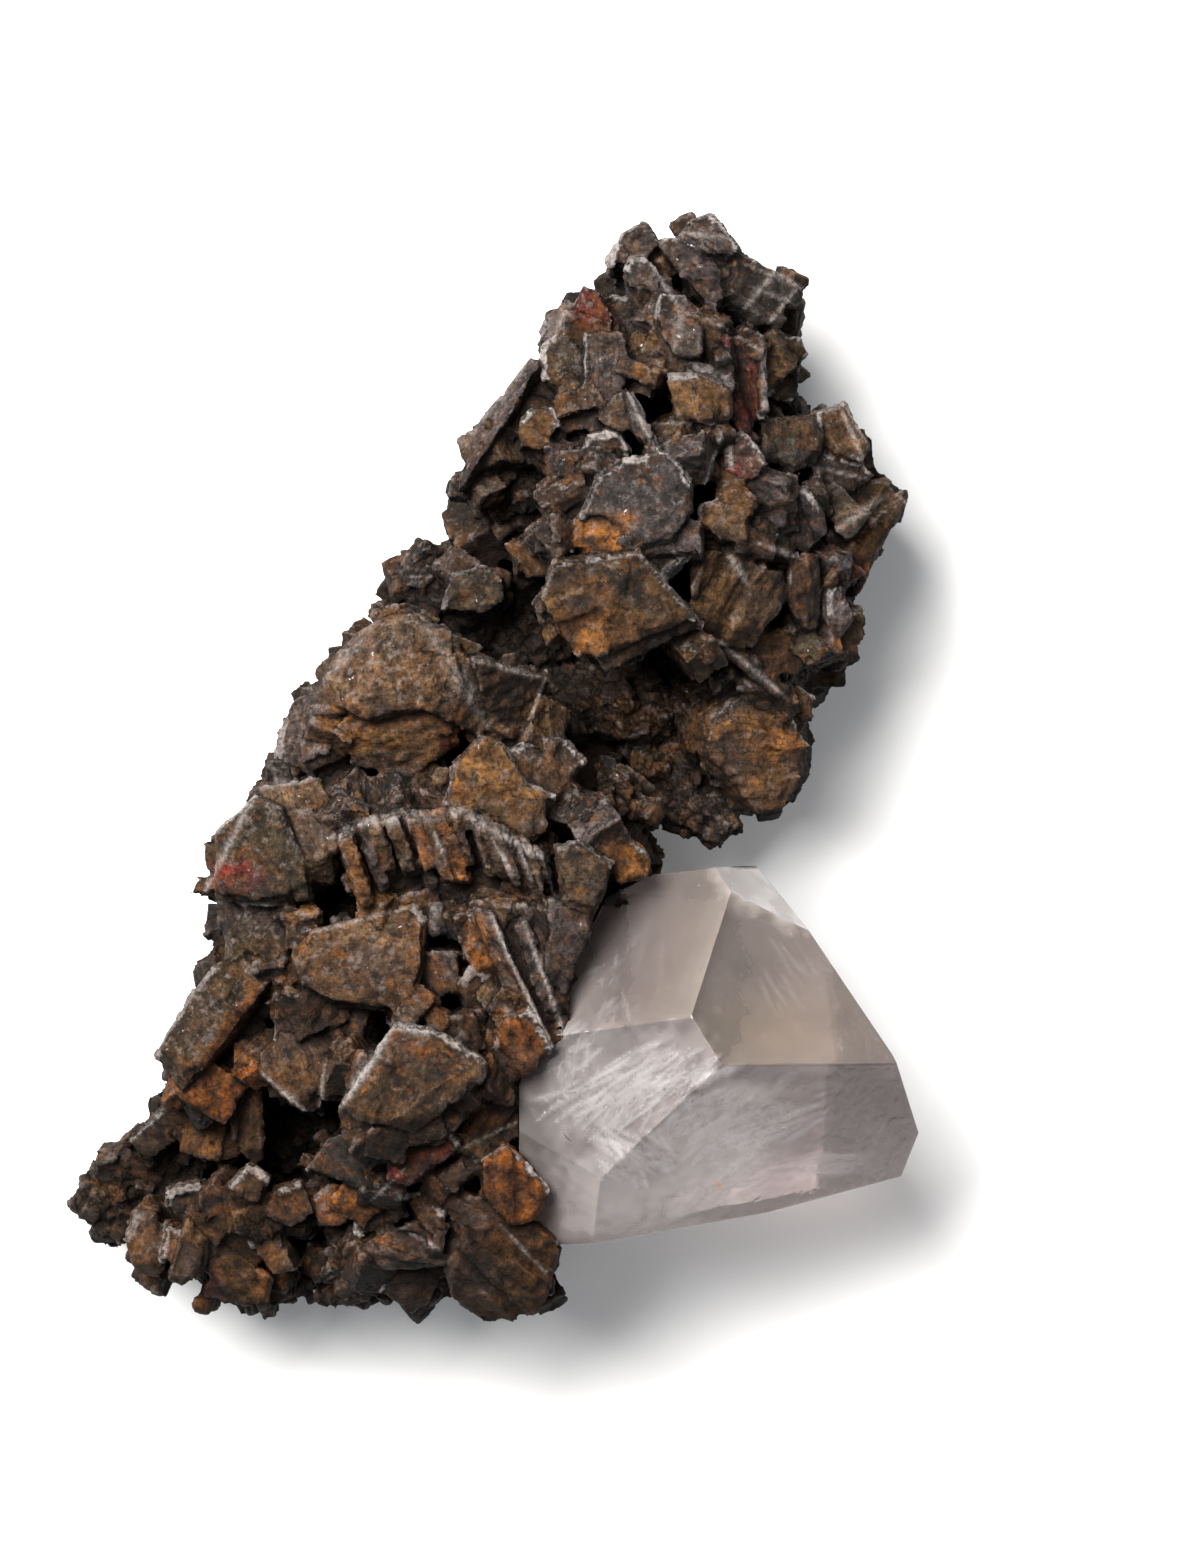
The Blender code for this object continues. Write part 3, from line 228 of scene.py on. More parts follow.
# Albite crystals: name, stain, form, turn of the ribs in degrees, height of the outer face, its rise
# in x and y, depth, lean in x and y for each millimetre down, and the corners of the outer face
CRYSTALS = [
    # Upper tip
    ("tip_horn", "grey", "stack", 0, 29, (0.10, -0.25), 9, (0.08, -0.25),
     [(10.5, 51.5), (12.2, 54.7), (14.6, 55.7), (15.8, 53.6), (14.5, 51.8)]),
    ("tip_step", "grey", "stack", 0, 31, (0.05, -0.20), 8, (0.0, -0.15),
     [(12.4, 50.5), (12.8, 52.0), (14.6, 52.0), (16.3, 49.5), (15.8, 48.3), (13.0, 48.3)]),
    ("tip_blade", "mauve", "stack", 0, 30, (-0.15, -0.25), 10, (0.0, -0.2),
     [(16.0, 53.8), (17.8, 53.8), (21.8, 51.3), (22.6, 48.5), (21.6, 46.5), (18.0, 50.8)]),
    ("tip_cap", "mauve", "stack", 0, 28.5, (0.0, -0.45), 8, (-0.05, -0.3),
     [(17.5, 54.0), (18.6, 55.6), (21.2, 56.6), (24.0, 53.0), (22.0, 51.5)]),
    ("tip_wedge", "dark", "ribs", -28, 28, (-0.30, -0.10), 10, (-0.25, -0.12),
     [(24.2, 52.6), (30.9, 49.4), (28.2, 45.5), (26.2, 45.5), (23.0, 48.0)]),
    ("neck_blade", "mauve", "stack", 0, 33.5, (0.05, -0.20), 9, (0.0, -0.1),
     [(16.0, 48.5), (18.5, 48.3), (20.0, 46.5), (20.0, 42.0), (17.5, 42.3), (15.6, 46.0)]),
    ("neck_cube", "ochre", "block", 0, 36.5, (-0.05, -0.15), 7, (0, 0),
     [(16.8, 40.2), (19.5, 40.0), (22.8, 38.6), (22.9, 36.0), (21.0, 35.3), (17.5, 35.8)]),
    ("neck_facet", "pale", "block", 0, 34.6, (0.0, -0.60), 7, (0.0, -0.1),
     [(18.8, 41.6), (22.2, 40.8), (23.3, 39.2), (22.6, 38.0), (19.0, 39.6)]),
    ("shoulder_cap", "ochre", "stack", 0, 27.5, (-0.40, 0.10), 9, (-0.3, 0.0),
     [(27.6, 44.4), (30.2, 43.9), (30.9, 42.4), (30.3, 40.4), (28.6, 40.6)]),
    ("shoulder_dark", "dark", "stack", 0, 26.5, (-0.35, 0.0), 9, (-0.3, 0.0),
     [(26.8, 40.8), (30.1, 40.3), (30.2, 38.7), (29.3, 37.6), (26.8, 38.4)]),
    ("neck_plate", "brick", "ribs", 100, 32.5, (-0.25, 0.05), 9, (-0.1, 0.0),
     [(22.5, 44.5), (25.0, 44.0), (25.9, 40.0), (25.6, 35.6), (24.3, 34.6), (23.0, 37.0)]),
    ("neck_rim", "mauve", "block", 0, 32.2, (-0.15, 0.05), 9, (-0.1, 0.0),
     [(25.5, 44.6), (26.5, 44.4), (26.9, 36.4), (25.9, 35.8)]),
    ("brick_point", "brick", "block", 0, 31, (0.35, -0.10), 9, (0.2, -0.1),
     [(8.2, 49.3), (9.6, 48.8), (11.4, 45.8), (10.6, 45.0), (6.6, 45.0)]),
    ("pale_edge", "pale", "ribs", 50, 28, (0.50, -0.30), 10, (0.3, -0.2),
     [(3.4, 43.4), (3.7, 45.5), (6.2, 48.2), (7.8, 47.0), (6.5, 45.0), (4.6, 42.4)]),
    ("neck_block", "grey", "stack", 0, 35.5, (0.08, -0.12), 9, (0, 0),
     [(8.6, 44.2), (11.8, 44.4), (12.5, 42.0), (12.2, 39.5), (10.0, 37.5), (8.3, 38.6)]),
    ("neck_left", "olive", "stack", 0, 32, (0.25, -0.15), 8, (0.1, 0.0),
     [(4.2, 43.0), (6.5, 44.4), (8.2, 42.5), (8.3, 39.5), (6.0, 38.0), (4.4, 39.8)]),
    ("neck_behind", "dark", "stack", 0, 30.5, (0.05, -0.30), 8, (0, 0),
     [(11.0, 48.6), (13.0, 48.0), (15.6, 44.6), (15.0, 41.5), (12.4, 42.4), (11.4, 45.0)]),
    ("left_blade", "mauve", "ribs", 57, 31.5, (0.45, -0.30), 12, (0.3, -0.2),
     [(-3.4, 35.4), (1.2, 41.0), (2.4, 42.3), (3.5, 41.8), (0.6, 37.0), (-4.6, 28.9), (-4.4, 30.5)]),
    ("left_block", "ochre", "stack", 0, 33, (0.20, -0.05), 9, (0, 0),
     [(3.2, 37.0), (5.0, 37.0), (6.0, 35.0), (4.6, 32.5), (2.0, 33.0), (2.0, 35.8)]),
    ("sail", "ochre", "block", 0, 38, (0.10, -0.20), 9, (0, 0),
     [(9.4, 35.6), (11.6, 38.3), (12.9, 38.2), (13.4, 35.0), (12.2, 34.2)]),
    ("sail_ridge", "grey", "block", 0, 39, (0.10, -0.15), 9, (0, 0),
     [(12.2, 38.9), (13.1, 38.4), (16.0, 32.7), (15.0, 32.0), (13.2, 34.4)]),
    ("step_brown", "brown", "stack", 0, 37, (0.10, 0.10), 8, (0, 0),
     [(8.8, 34.2), (12.0, 34.8), (13.0, 32.5), (10.5, 30.5), (8.0, 32.2)]),
    # Right side
    ("right_crown", "ochre", "stack", 0, 27, (-0.15, -0.10), 10, (-0.28, -0.15),
     [(31.8, 37.0), (34.4, 37.9), (37.2, 33.3), (36.8, 32.0), (33.6, 32.8), (31.8, 34.8)]),
    ("right_dark", "olive", "stack", 0, 29.5, (-0.20, -0.10), 9, (-0.1, 0.0),
     [(25.8, 36.2), (31.5, 36.2), (32.6, 34.0), (31.5, 31.5), (29.0, 30.5), (26.2, 32.0)]),
    ("right_step", "dark", "stack", 0, 26.5, (-0.25, 0.0), 8, (-0.2, 0.0),
     [(31.2, 32.4), (36.4, 31.8), (37.6, 30.4), (35.0, 28.6), (31.8, 29.0)]),
    ("right_point", "ochre", "ribs", 45, 24.5, (-0.25, -0.10), 9, (-0.35, 0.0),
     [(36.0, 29.0), (39.0, 30.2), (41.4, 28.2), (38.6, 23.0), (36.2, 18.0), (33.8, 21.6), (33.0, 25.6)]),
    ("right_mauve", "mauve", "stack", 0, 32.5, (-0.20, 0.10), 9, (0, 0),
     [(27.4, 28.0), (30.3, 29.2), (31.8, 27.0), (32.2, 24.5), (30.5, 22.8), (28.4, 24.6)]),
    ("step_red", "brick", "stack", 0, 35, (0.0, -0.30), 9, (0, 0),
     [(22.4, 33.0), (24.0, 34.5), (26.7, 31.4), (25.2, 29.7), (22.6, 31.0)]),
    ("step_ochre", "ochre", "stack", 0, 36.2, (0.10, -0.30), 9, (0, 0),
     [(21.2, 28.4), (22.2, 31.5), (26.0, 27.6), (24.8, 26.4), (22.6, 27.0)]),
    ("step_pale", "tan", "stack", 0, 37, (0.0, -0.10), 8, (0, 0),
     [(20.0, 27.4), (21.4, 27.8), (24.9, 26.0), (24.6, 23.4), (21.8, 23.4), (20.0, 25.2)]),
    ("ribbed_mass", "ochre", "ribs", 60, 35.5, (-0.22, 0.10), 11, (0, 0),
     [(18.8, 21.0), (20.0, 22.6), (24.2, 22.2), (28.3, 20.5), (28.6, 18.0), (25.0, 13.4), (21.8, 13.8),
      (19.2, 15.8)]),
    ("ribbed_step", "brown", "stack", 0, 34, (-0.25, 0.05), 9, (0, 0),
     [(24.6, 25.6), (27.2, 26.8), (29.3, 22.8), (29.0, 21.2), (25.0, 22.4)]),
    ("right_brown", "brown", "stack", 0, 31.5, (-0.30, 0.0), 9, (-0.05, 0.0),
     [(29.2, 22.4), (31.8, 22.6), (32.1, 20.2), (31.7, 15.4), (30.2, 14.8), (28.8, 18.0)]),
    ("right_pale", "pale", "stack", 0, 28.5, (-0.30, 0.10), 9, (-0.3, 0.0),
     [(32.8, 19.6), (34.3, 19.4), (36.0, 16.6), (34.2, 13.8), (32.6, 15.2)]),
    ("right_hook", "ochre", "stack", 0, 25.5, (-0.30, 0.0), 8, (-0.3, 0.0),
     [(34.3, 15.0), (36.2, 17.4), (36.9, 14.6), (35.6, 11.6), (33.6, 12.6)]),
    ("cliff_edge", "brown", "block", 0, 31.0, (-0.20, 0.10), 9, (0.0, 0.1),
     [(21.4, 14.0), (24.8, 12.6), (29.0, 8.7), (28.0, 7.4), (24.0, 11.0), (21.4, 12.8)]),
    ("cliff_rough", "brown", "stack", 0, 29.5, (-0.20, 0.10), 9, (-0.05, 0.1),
     [(23.6, 14.6), (29.0, 15.0), (32.0, 12.6), (29.8, 9.9), (27.0, 10.4)]),
    ("flap", "brown", "stack", 0, 24.5, (-0.25, -0.10), 8, (-0.4, 0.0),
     [(28.0, 9.4), (29.9, 9.8), (31.9, 8.4), (31.7, 5.8), (29.6, 5.6)]),
    ("lower_right_plate", "ochre", "stack", 0, 27.5, (-0.14, 0.06), 11, (-0.3, 0.1),
     [(21.8, 2.2), (21.6, 6.2), (24.0, 8.1), (28.5, 7.2), (31.2, 3.4), (29.5, -1.2), (28.4, -3.1),
      (26.4, -3.4), (23.5, 0.2)]),
    # Centre
    ("speckled_plate", "grey", "block", 0, 41, (0.03, -0.16), 12, (0, 0),
     [(8.0, 25.8), (9.6, 29.8), (12.2, 31.8), (16.5, 32.3), (19.2, 29.2), (19.2, 26.6), (17.2, 23.4),
      (14.2, 23.0), (10.5, 26.0)]),
    ("orange_break", "orange", "block", 0, 40.4, (0.15, -0.15), 9, (0, 0),
     [(6.8, 22.8), (7.6, 25.6), (10.0, 27.6), (13.0, 26.6), (13.8, 24.0), (11.0, 22.2)]),
    ("main_rhomb", "ochre", "block", 0, 42, (-0.04, 0.06), 13, (0.0, 0.1),
     [(4.2, 17.6), (5.4, 21.3), (13.9, 22.5), (19.5, 15.8), (9.4, 11.8), (7.6, 12.0), (5.8, 14.4)]),
    ("main_ledge", "grey", "stack", 0, 38.6, (-0.04, 0.10), 10, (0.0, 0.1),
     [(9.6, 12.4), (19.2, 16.4), (20.4, 15.2), (10.2, 10.6)]),
    ("needle", "pale", "block", 0, 40.5, (-0.04, 0.06), 7, (0, 0),
     [(16.0, 20.3), (19.0, 23.3), (19.7, 22.5), (16.8, 19.6)]),
    ("pit_crystal", "olive", "block", 0, 24, (0.05, -0.05), 7, (0, 0),
     [(-5.9, 17.0), (-4.9, 20.4), (-1.8, 21.5), (0.2, 20.2), (0.6, 18.0), (-2.0, 16.7)]),
    ("hump_cap", "tan", "dome", 0, 41.5, (0.36, -0.16), 12, (0.12, -0.1),
     [(-18.5, 8.5), (-17.3, 11.8), (-15.2, 14.1), (-12.0, 16.6), (-8.4, 17.0), (-4.0, 12.8),
      (-1.0, 8.0), (-0.4, 4.2), (-4.0, 5.6), (-8.0, 7.6), (-13.0, 6.2)]),
    ("hump_rib", "tan", "dome", 0, 43.6, (0.0, 0.02), 9, (0, 0),
     [(-9.6, 16.4), (-6.6, 15.8), (-1.0, 8.8), (-0.2, 4.4), (-3.6, 4.8), (-7.0, 10.4)]),
    ("hump_break", "ochre", "stack", 0, 39.6, (0.08, 0.22), 12, (0.0, 0.15),
     [(-14.6, 1.2), (-15.8, 5.0), (-13.0, 7.2), (-8.0, 8.4), (-5.0, 7.6), (-3.8, 2.8), (-8.5, 0.2)]),
    ("hump_wedge", "brown", "ribs", 20, 40.5, (-0.50, 0.12), 11, (0, 0),
     [(-2.6, 12.2), (0.2, 11.3), (4.8, 10.1), (3.4, 6.4), (1.2, 4.0), (-0.8, 4.6)]),
    ("left_pale_block", "mauve", "stack", 0, 36, (0.30, -0.20), 12, (0.25, -0.1),
     [(-20.2, 8.2), (-18.6, 8.2), (-15.2, 4.4), (-16.0, 2.2), (-19.4, 0.6), (-22.2, 2.2), (-21.6, 6.2)]),
    ("house_block", "olive", "block", 0, 37, (0.28, 0.10), 11, (0.2, -0.05),
     [(-24.0, -1.6), (-22.0, -2.6), (-19.8, -7.2), (-19.4, -11.4), (-24.0, -12.6), (-29.0, -11.5),
      (-28.4, -5.4)]),
    ("house_top", "tan", "ribs", -70, 37.6, (0.10, -0.20), 9, (0.1, -0.1),
     [(-24.0, -0.6), (-18.0, 0.6), (-16.2, -4.6), (-17.0, -9.6), (-19.2, -9.8), (-20.6, -5.8)]),
    ("house_step", "olive", "stack", 0, 33, (0.20, -0.10), 9, (0.1, 0.0),
     [(-25.5, -12.8), (-21.0, -13.6), (-19.6, -16.8), (-22.6, -18.2), (-27.6, -15.8)]),
    ("house_foot", "dark", "stack", 0, 31, (0.20, -0.05), 14, (0.1, 0.0),
     [(-28.8, -10.6), (-21.6, -11.0), (-20.6, -15.4), (-25.0, -17.2), (-28.4, -14.4)]),
    ("rough_plate", "tan", "stack", 0, 38, (0.06, -0.12), 11, (0, 0),
     [(-20.6, -17.4), (-18.4, -15.2), (-8.5, -12.5), (-7.2, -14.0), (-7.6, -19.6), (-9.2, -23.2),
      (-16.4, -22.2), (-19.6, -20.8)]),
    # Middle
    ("grainy_top", "ochre", "block", 0, 40.5, (0.02, 0.08), 11, (0, 0),
     [(-5.4, -2.4), (-4.6, 1.6), (-1.8, 4.4), (0.4, 3.8), (2.8, -0.4), (5.8, -1.4), (5.2, -5.6),
      (3.2, -6.6)]),
    ("grainy_step", "brown", "stack", 0, 38.5, (-0.20, 0.02), 9, (0, 0),
     [(1.2, 3.2), (3.8, 4.2), (6.8, 4.0), (8.6, 1.8), (5.8, -1.6), (2.6, -1.0)]),
    ("book_left", "dark", "ribs", -68, 37.6, (0.05, 0.38), 10, (0, 0),
     [(-16.2, -5.8), (-14.0, -4.0), (-8.0, -2.7), (-6.8, -7.0), (-6.2, -12.4), (-10.6, -12.4),
      (-14.2, -10.6)]),
    ("book_right", "dark", "ribs", -72, 37.4, (-0.02, 0.36), 10, (0, 0),
     [(-7.6, -2.8), (-2.0, -2.3), (5.1, -7.2), (4.2, -11.4), (-1.6, -11.8), (-5.8, -12.8)]),
    ("tan_block", "tan", "block", 0, 41, (-0.02, 0.12), 10, (0, 0),
     [(5.5, -6.4), (8.0, -6.1), (11.3, -8.2), (10.6, -10.8), (9.6, -13.2), (6.4, -12.4)]),
    ("corner_orange", "orange", "block", 0, 37.5, (-0.20, 0.20), 9, (-0.1, 0.1),
     [(9.4, -6.2), (11.5, -5.2), (14.8, -7.4), (15.4, -9.4), (12.0, -10.2)]),
    ("quartz_edge", "mauve", "ribs", -65, 39.5, (-0.10, 0.10), 10, (0, 0),
     [(5.2, -11.8), (9.4, -13.4), (8.3, -17.0), (6.6, -21.4), (4.6, -19.0)]),
    ("lozenge", "olive", "stack", 0, 42, (0.06, -0.12), 12, (0, 0),
     [(-10.2, -24.0), (-6.5, -24.6), (-1.6, -27.4), (-1.4, -29.0), (-8.6, -34.5), (-14.0, -33.0),
      (-15.2, -31.6)]),
    ("spine", "mauve", "ribs", -62, 40.4, (0.10, 0.10), 9, (0, 0),
     [(-2.4, -12.8), (-0.6, -13.2), (1.9, -19.2), (5.4, -26.0), (4.4, -26.8), (0.4, -20.6)]),
    ("spine_face", "orange", "block", 0, 39, (0.30, 0.05), 9, (0, 0),
     [(-3.8, -13.4), (-1.8, -13.4), (1.0, -19.6), (0.0, -20.6), (-3.4, -17.6)]),
    ("quartz_rim", "mauve", "ribs", -62, 39.3, (-0.05, 0.10), 9, (0, 0),
     [(1.6, -14.4), (3.0, -13.8), (5.2, -20.4), (7.2, -25.2), (6.0, -26.2), (3.2, -20.0)]),
    ("edge_slab", "brown", "ribs", -65, 38.4, (0.0, 0.08), 9, (0, 0),
     [(-1.2, -13.4), (2.0, -12.6), (5.6, -12.2), (7.0, -18.0), (7.2, -25.6), (4.8, -27.2), (0.2, -20.8)]),
    ("rust_block", "orange", "stack", 0, 39.6, (0.10, 0.12), 9, (0, 0),
     [(0.6, -23.4), (3.0, -22.4), (5.2, -26.6), (3.8, -28.6), (1.0, -30.2), (-1.0, -27.0)]),
    ("small_dark", "dark", "stack", 0, 38, (0.0, 0.10), 9, (0, 0),
     [(-2.2, -18.0), (-4.0, -20.0), (-3.2, -23.0), (-0.8, -22.6), (-0.8, -19.6)]),
    # Lower left
    ("brick_top", "olive", "stack", 0, 33, (0.30, -0.15), 11, (0.2, 0.0),
     [(-30.4, -20.8), (-28.5, -18.4), (-26.0, -18.0), (-23.4, -20.2), (-27.4, -25.8), (-31.8, -30.8),
      (-34.4, -27.4)]),
    # This side's dark stain is painted shade, on the side turned from the light
    ("brick_side", "dark", "ribs", -35, 30, (0.05, 0.55), 9, (0, 0),
     [(-23.6, -20.6), (-22.6, -22.4), (-26.8, -30.6), (-31.4, -31.0), (-27.4, -26.0)]),
    ("tan_strip", "tan", "stack", 0, 24, (0.10, 0.20), 8, (0.1, 0.1),
     [(-34.0, -33.0), (-31.2, -32.8), (-31.8, -35.4), (-35.2, -38.4), (-37.6, -36.2)]),
    ("fork", "tan", "ribs", 85, 28.5, (-0.05, 0.05), 9, (0, 0),
     [(-26.8, -31.6), (-24.8, -30.4), (-23.4, -31.0), (-23.6, -37.6), (-24.8, -38.0), (-26.6, -36.0)]),
    ("stick", "brown", "block", 0, 34.5, (0.0, 0.05), 8, (0, 0),
     [(-22.2, -20.0), (-20.8, -20.0), (-21.4, -25.6), (-22.3, -26.0)]),
    ("rough_mass", "tan", "ribs", -70, 35, (0.05, -0.06), 11, (0, 0),
     [(-23.8, -27.4), (-20.2, -23.8), (-16.8, -21.8), (-15.2, -24.0), (-16.6, -28.4), (-17.6, -32.6),
      (-19.4, -33.0), (-23.8, -29.6)]),
    ("end_plate", "ochre", "stack", 0, 25.5, (0.15, -0.20), 9, (0.1, 0.15),
     [(-37.5, -46.0), (-36.6, -43.2), (-34.8, -43.6), (-33.4, -47.0), (-34.4, -50.2), (-36.6, -49.8)]),
    ("end_slab", "tan", "ribs", 65, 27, (-0.10, -0.10), 9, (0.0, 0.2),
     [(-31.4, -44.4), (-29.8, -44.0), (-28.8, -45.6), (-29.2, -49.4), (-31.4, -50.6), (-33.2, -50.2)]),
    ("end_step", "orange", "block", 0, 26.4, (0.10, -0.20), 9, (0.0, 0.1),
     [(-33.4, -44.4), (-31.6, -45.0), (-32.4, -48.4), (-33.8, -48.0)]),
    ("low_plate", "ochre", "ribs", -45, 25.5, (0.05, 0.10), 9, (0.0, 0.3),
     [(-29.4, -49.0), (-28.4, -46.4), (-26.0, -47.8), (-22.8, -50.4), (-22.8, -52.4), (-25.3, -53.6),
      (-29.6, -52.6)]),
    ("low_block", "tan", "stack", 0, 28, (0.10, -0.10), 9, (0.0, 0.1),
     [(-24.9, -46.2), (-21.8, -46.0), (-20.2, -49.0), (-22.6, -49.6)]),
    ("small_cube", "tan", "block", 0, 30, (0.0, -0.10), 8, (0, 0),
     [(-27.2, -40.4), (-25.0, -38.2), (-22.7, -39.6), (-24.0, -42.0), (-26.2, -42.2)]),
    ("mauve_block", "mauve", "stack", 0, 25.5, (0.0, 0.10), 8, (0, 0),
     [(-33.2, -40.8), (-29.8, -40.2), (-29.4, -43.2), (-31.5, -44.2), (-33.4, -42.6)]),
    ("low_small", "brown", "stack", 0, 29, (0.10, 0.0), 8, (0, 0),
     [(-24.0, -43.0), (-22.2, -40.8), (-19.8, -40.0), (-18.6, -43.0), (-21.2, -44.4)]),
    # Lower right
    ("grey_lozenge", "grey", "block", 0, 32, (0.0, -0.10), 9, (0, 0),
     [(-19.4, -38.8), (-17.0, -35.4), (-15.2, -35.0), (-11.3, -36.8), (-11.3, -39.2), (-14.0, -40.4)]),
    ("red_slab", "brick", "stack", 0, 37, (0.05, -0.05), 10, (0, 0),
     [(-10.8, -36.8), (-5.5, -33.8), (-3.8, -36.2), (-9.2, -40.4), (-11.2, -39.6)]),
    ("red_step", "brown", "stack", 0, 35.5, (0.0, -0.10), 9, (0, 0),
     [(-6.8, -39.2), (-2.2, -36.6), (-1.4, -38.2), (-4.4, -41.0)]),
    ("rust_slab", "orange", "stack", 0, 36.5, (-0.02, 0.05), 10, (0, 0),
     [(-1.8, -37.6), (0.5, -35.8), (2.7, -37.6), (5.2, -40.6), (3.4, -43.8), (1.2, -44.4), (-1.8, -41.0)]),
    ("fan_small", "brown", "ribs", -30, 34.5, (0.10, -0.10), 9, (0, 0),
     [(-6.0, -40.6), (-2.6, -40.8), (0.2, -42.8), (-1.6, -44.4), (-4.6, -43.6)]),
    ("ribbed_plate", "ochre", "ribs", -42, 34, (-0.08, 0.16), 12, (-0.1, 0.25),
     [(-4.8, -48.5), (-3.6, -44.7), (3.0, -44.2), (6.0, -46.4), (6.0, -49.4), (4.8, -52.7),
      (0.5, -55.2), (-1.2, -55.2), (-4.8, -51.6)]),
    ("low_tooth", "brown", "stack", 0, 28, (0.0, 0.20), 9, (0.0, 0.3),
     [(-12.2, -51.0), (-8.4, -54.2), (-7.0, -52.6), (-5.6, -49.2), (-8.5, -47.4), (-11.8, -48.6)]),
    ("lens", "grey", "ribs", -12, 31.5, (0.05, -0.15), 9, (0, 0),
     [(-13.8, -46.4), (-11.0, -44.8), (-8.4, -44.0), (-6.0, -46.6), (-5.8, -48.2), (-8.2, -48.8),
      (-11.2, -48.4)]),
    ("lens_upper", "brown", "stack", 0, 32.5, (0.0, -0.15), 9, (0, 0),
     [(-9.7, -41.0), (-7.0, -40.8), (-5.4, -43.2), (-5.4, -45.8), (-7.8, -44.4)]),
    ("lens_left", "mauve", "stack", 0, 30, (0.10, -0.10), 9, (0, 0),
     [(-14.0, -42.0), (-10.5, -41.4), (-9.0, -43.4), (-12.2, -45.5), (-14.4, -45.2)]),
    ("low_orange", "orange", "block", 0, 28.5, (0.10, -0.10), 8, (0, 0),
     [(-18.6, -41.6), (-17.0, -40.2), (-13.8, -41.4), (-15.4, -44.2), (-18.0, -44.4)]),
    ("quartz_side_rib", "brown", "ribs", 60, 35.5, (0.10, 0.06), 10, (0, 0),
     [(-4.6, -31.6), (-1.2, -29.9), (2.8, -30.8), (2.5, -35.4), (-1.0, -36.6), (-4.4, -35.0)]),
]

# How much steeper than listed the outer faces stand, how much narrower a crystal is at its foot, and how
# far its solid goes on under that
SLOPE_GAIN = 1.6
FOOT_NARROWING = 0.06
FOOT_DEEPER = 4.0

# Thicknesses of the plates in a ribbed crystal and in a stack
RIB_PLATES = (0.5, 1.2)
STACK_PLATES = (0.7, 1.5)
PLATE_OVERLAP = 0.12

# Cells to the block along a crystal's plates and across them
BLOCK_CELLS = (1.6, 0.8, 1.0)

# How far from a cutting plane a point counts as on it
CUT_SLACK = 1e-5

# Faces cut beside an outer face: chance, turn, degrees off upright, place as a share of the reach
SIDE_CUTS = [
    (0.80, (-150.0, -25.0), (30.0, 56.0), (0.38, 0.75)),
    (0.45, (-25.0, 45.0), (35.0, 60.0), (0.60, 0.85)),
    (0.30, (140.0, 220.0), (35.0, 60.0), (0.65, 0.90)),
]

# The ridge that thin upright plates hang from, which way they fall and how high it stands
RIDGE = [(-15.8, -5.6), (-13.4, -4.0), (-8.0, -3.0), (-2.4, -2.4), (1.0, -4.6), (5.0, -7.6)]
LEAF_FALL = (0.33, -0.94)
LEAF_HEIGHT = 41.6

# The domed crystals: the middle and radii of the dome, and how many faces are cut round it
DOME_MIDDLE = (-8.8, 8.6, 31.4)
DOME_RADII = (10.8, 9.4, 12.0)
DOME_CUTS = 70

# The pale lips on upper edges, on the side toward the light, their paleness partly a painted highlight:
# the side they look to, how often they come and their widths
LIT_RIM_SIDE = (-0.25, 0.97)
RIM_CHANCE = 0.7
RIM_WIDTHS = (0.40, 0.75)

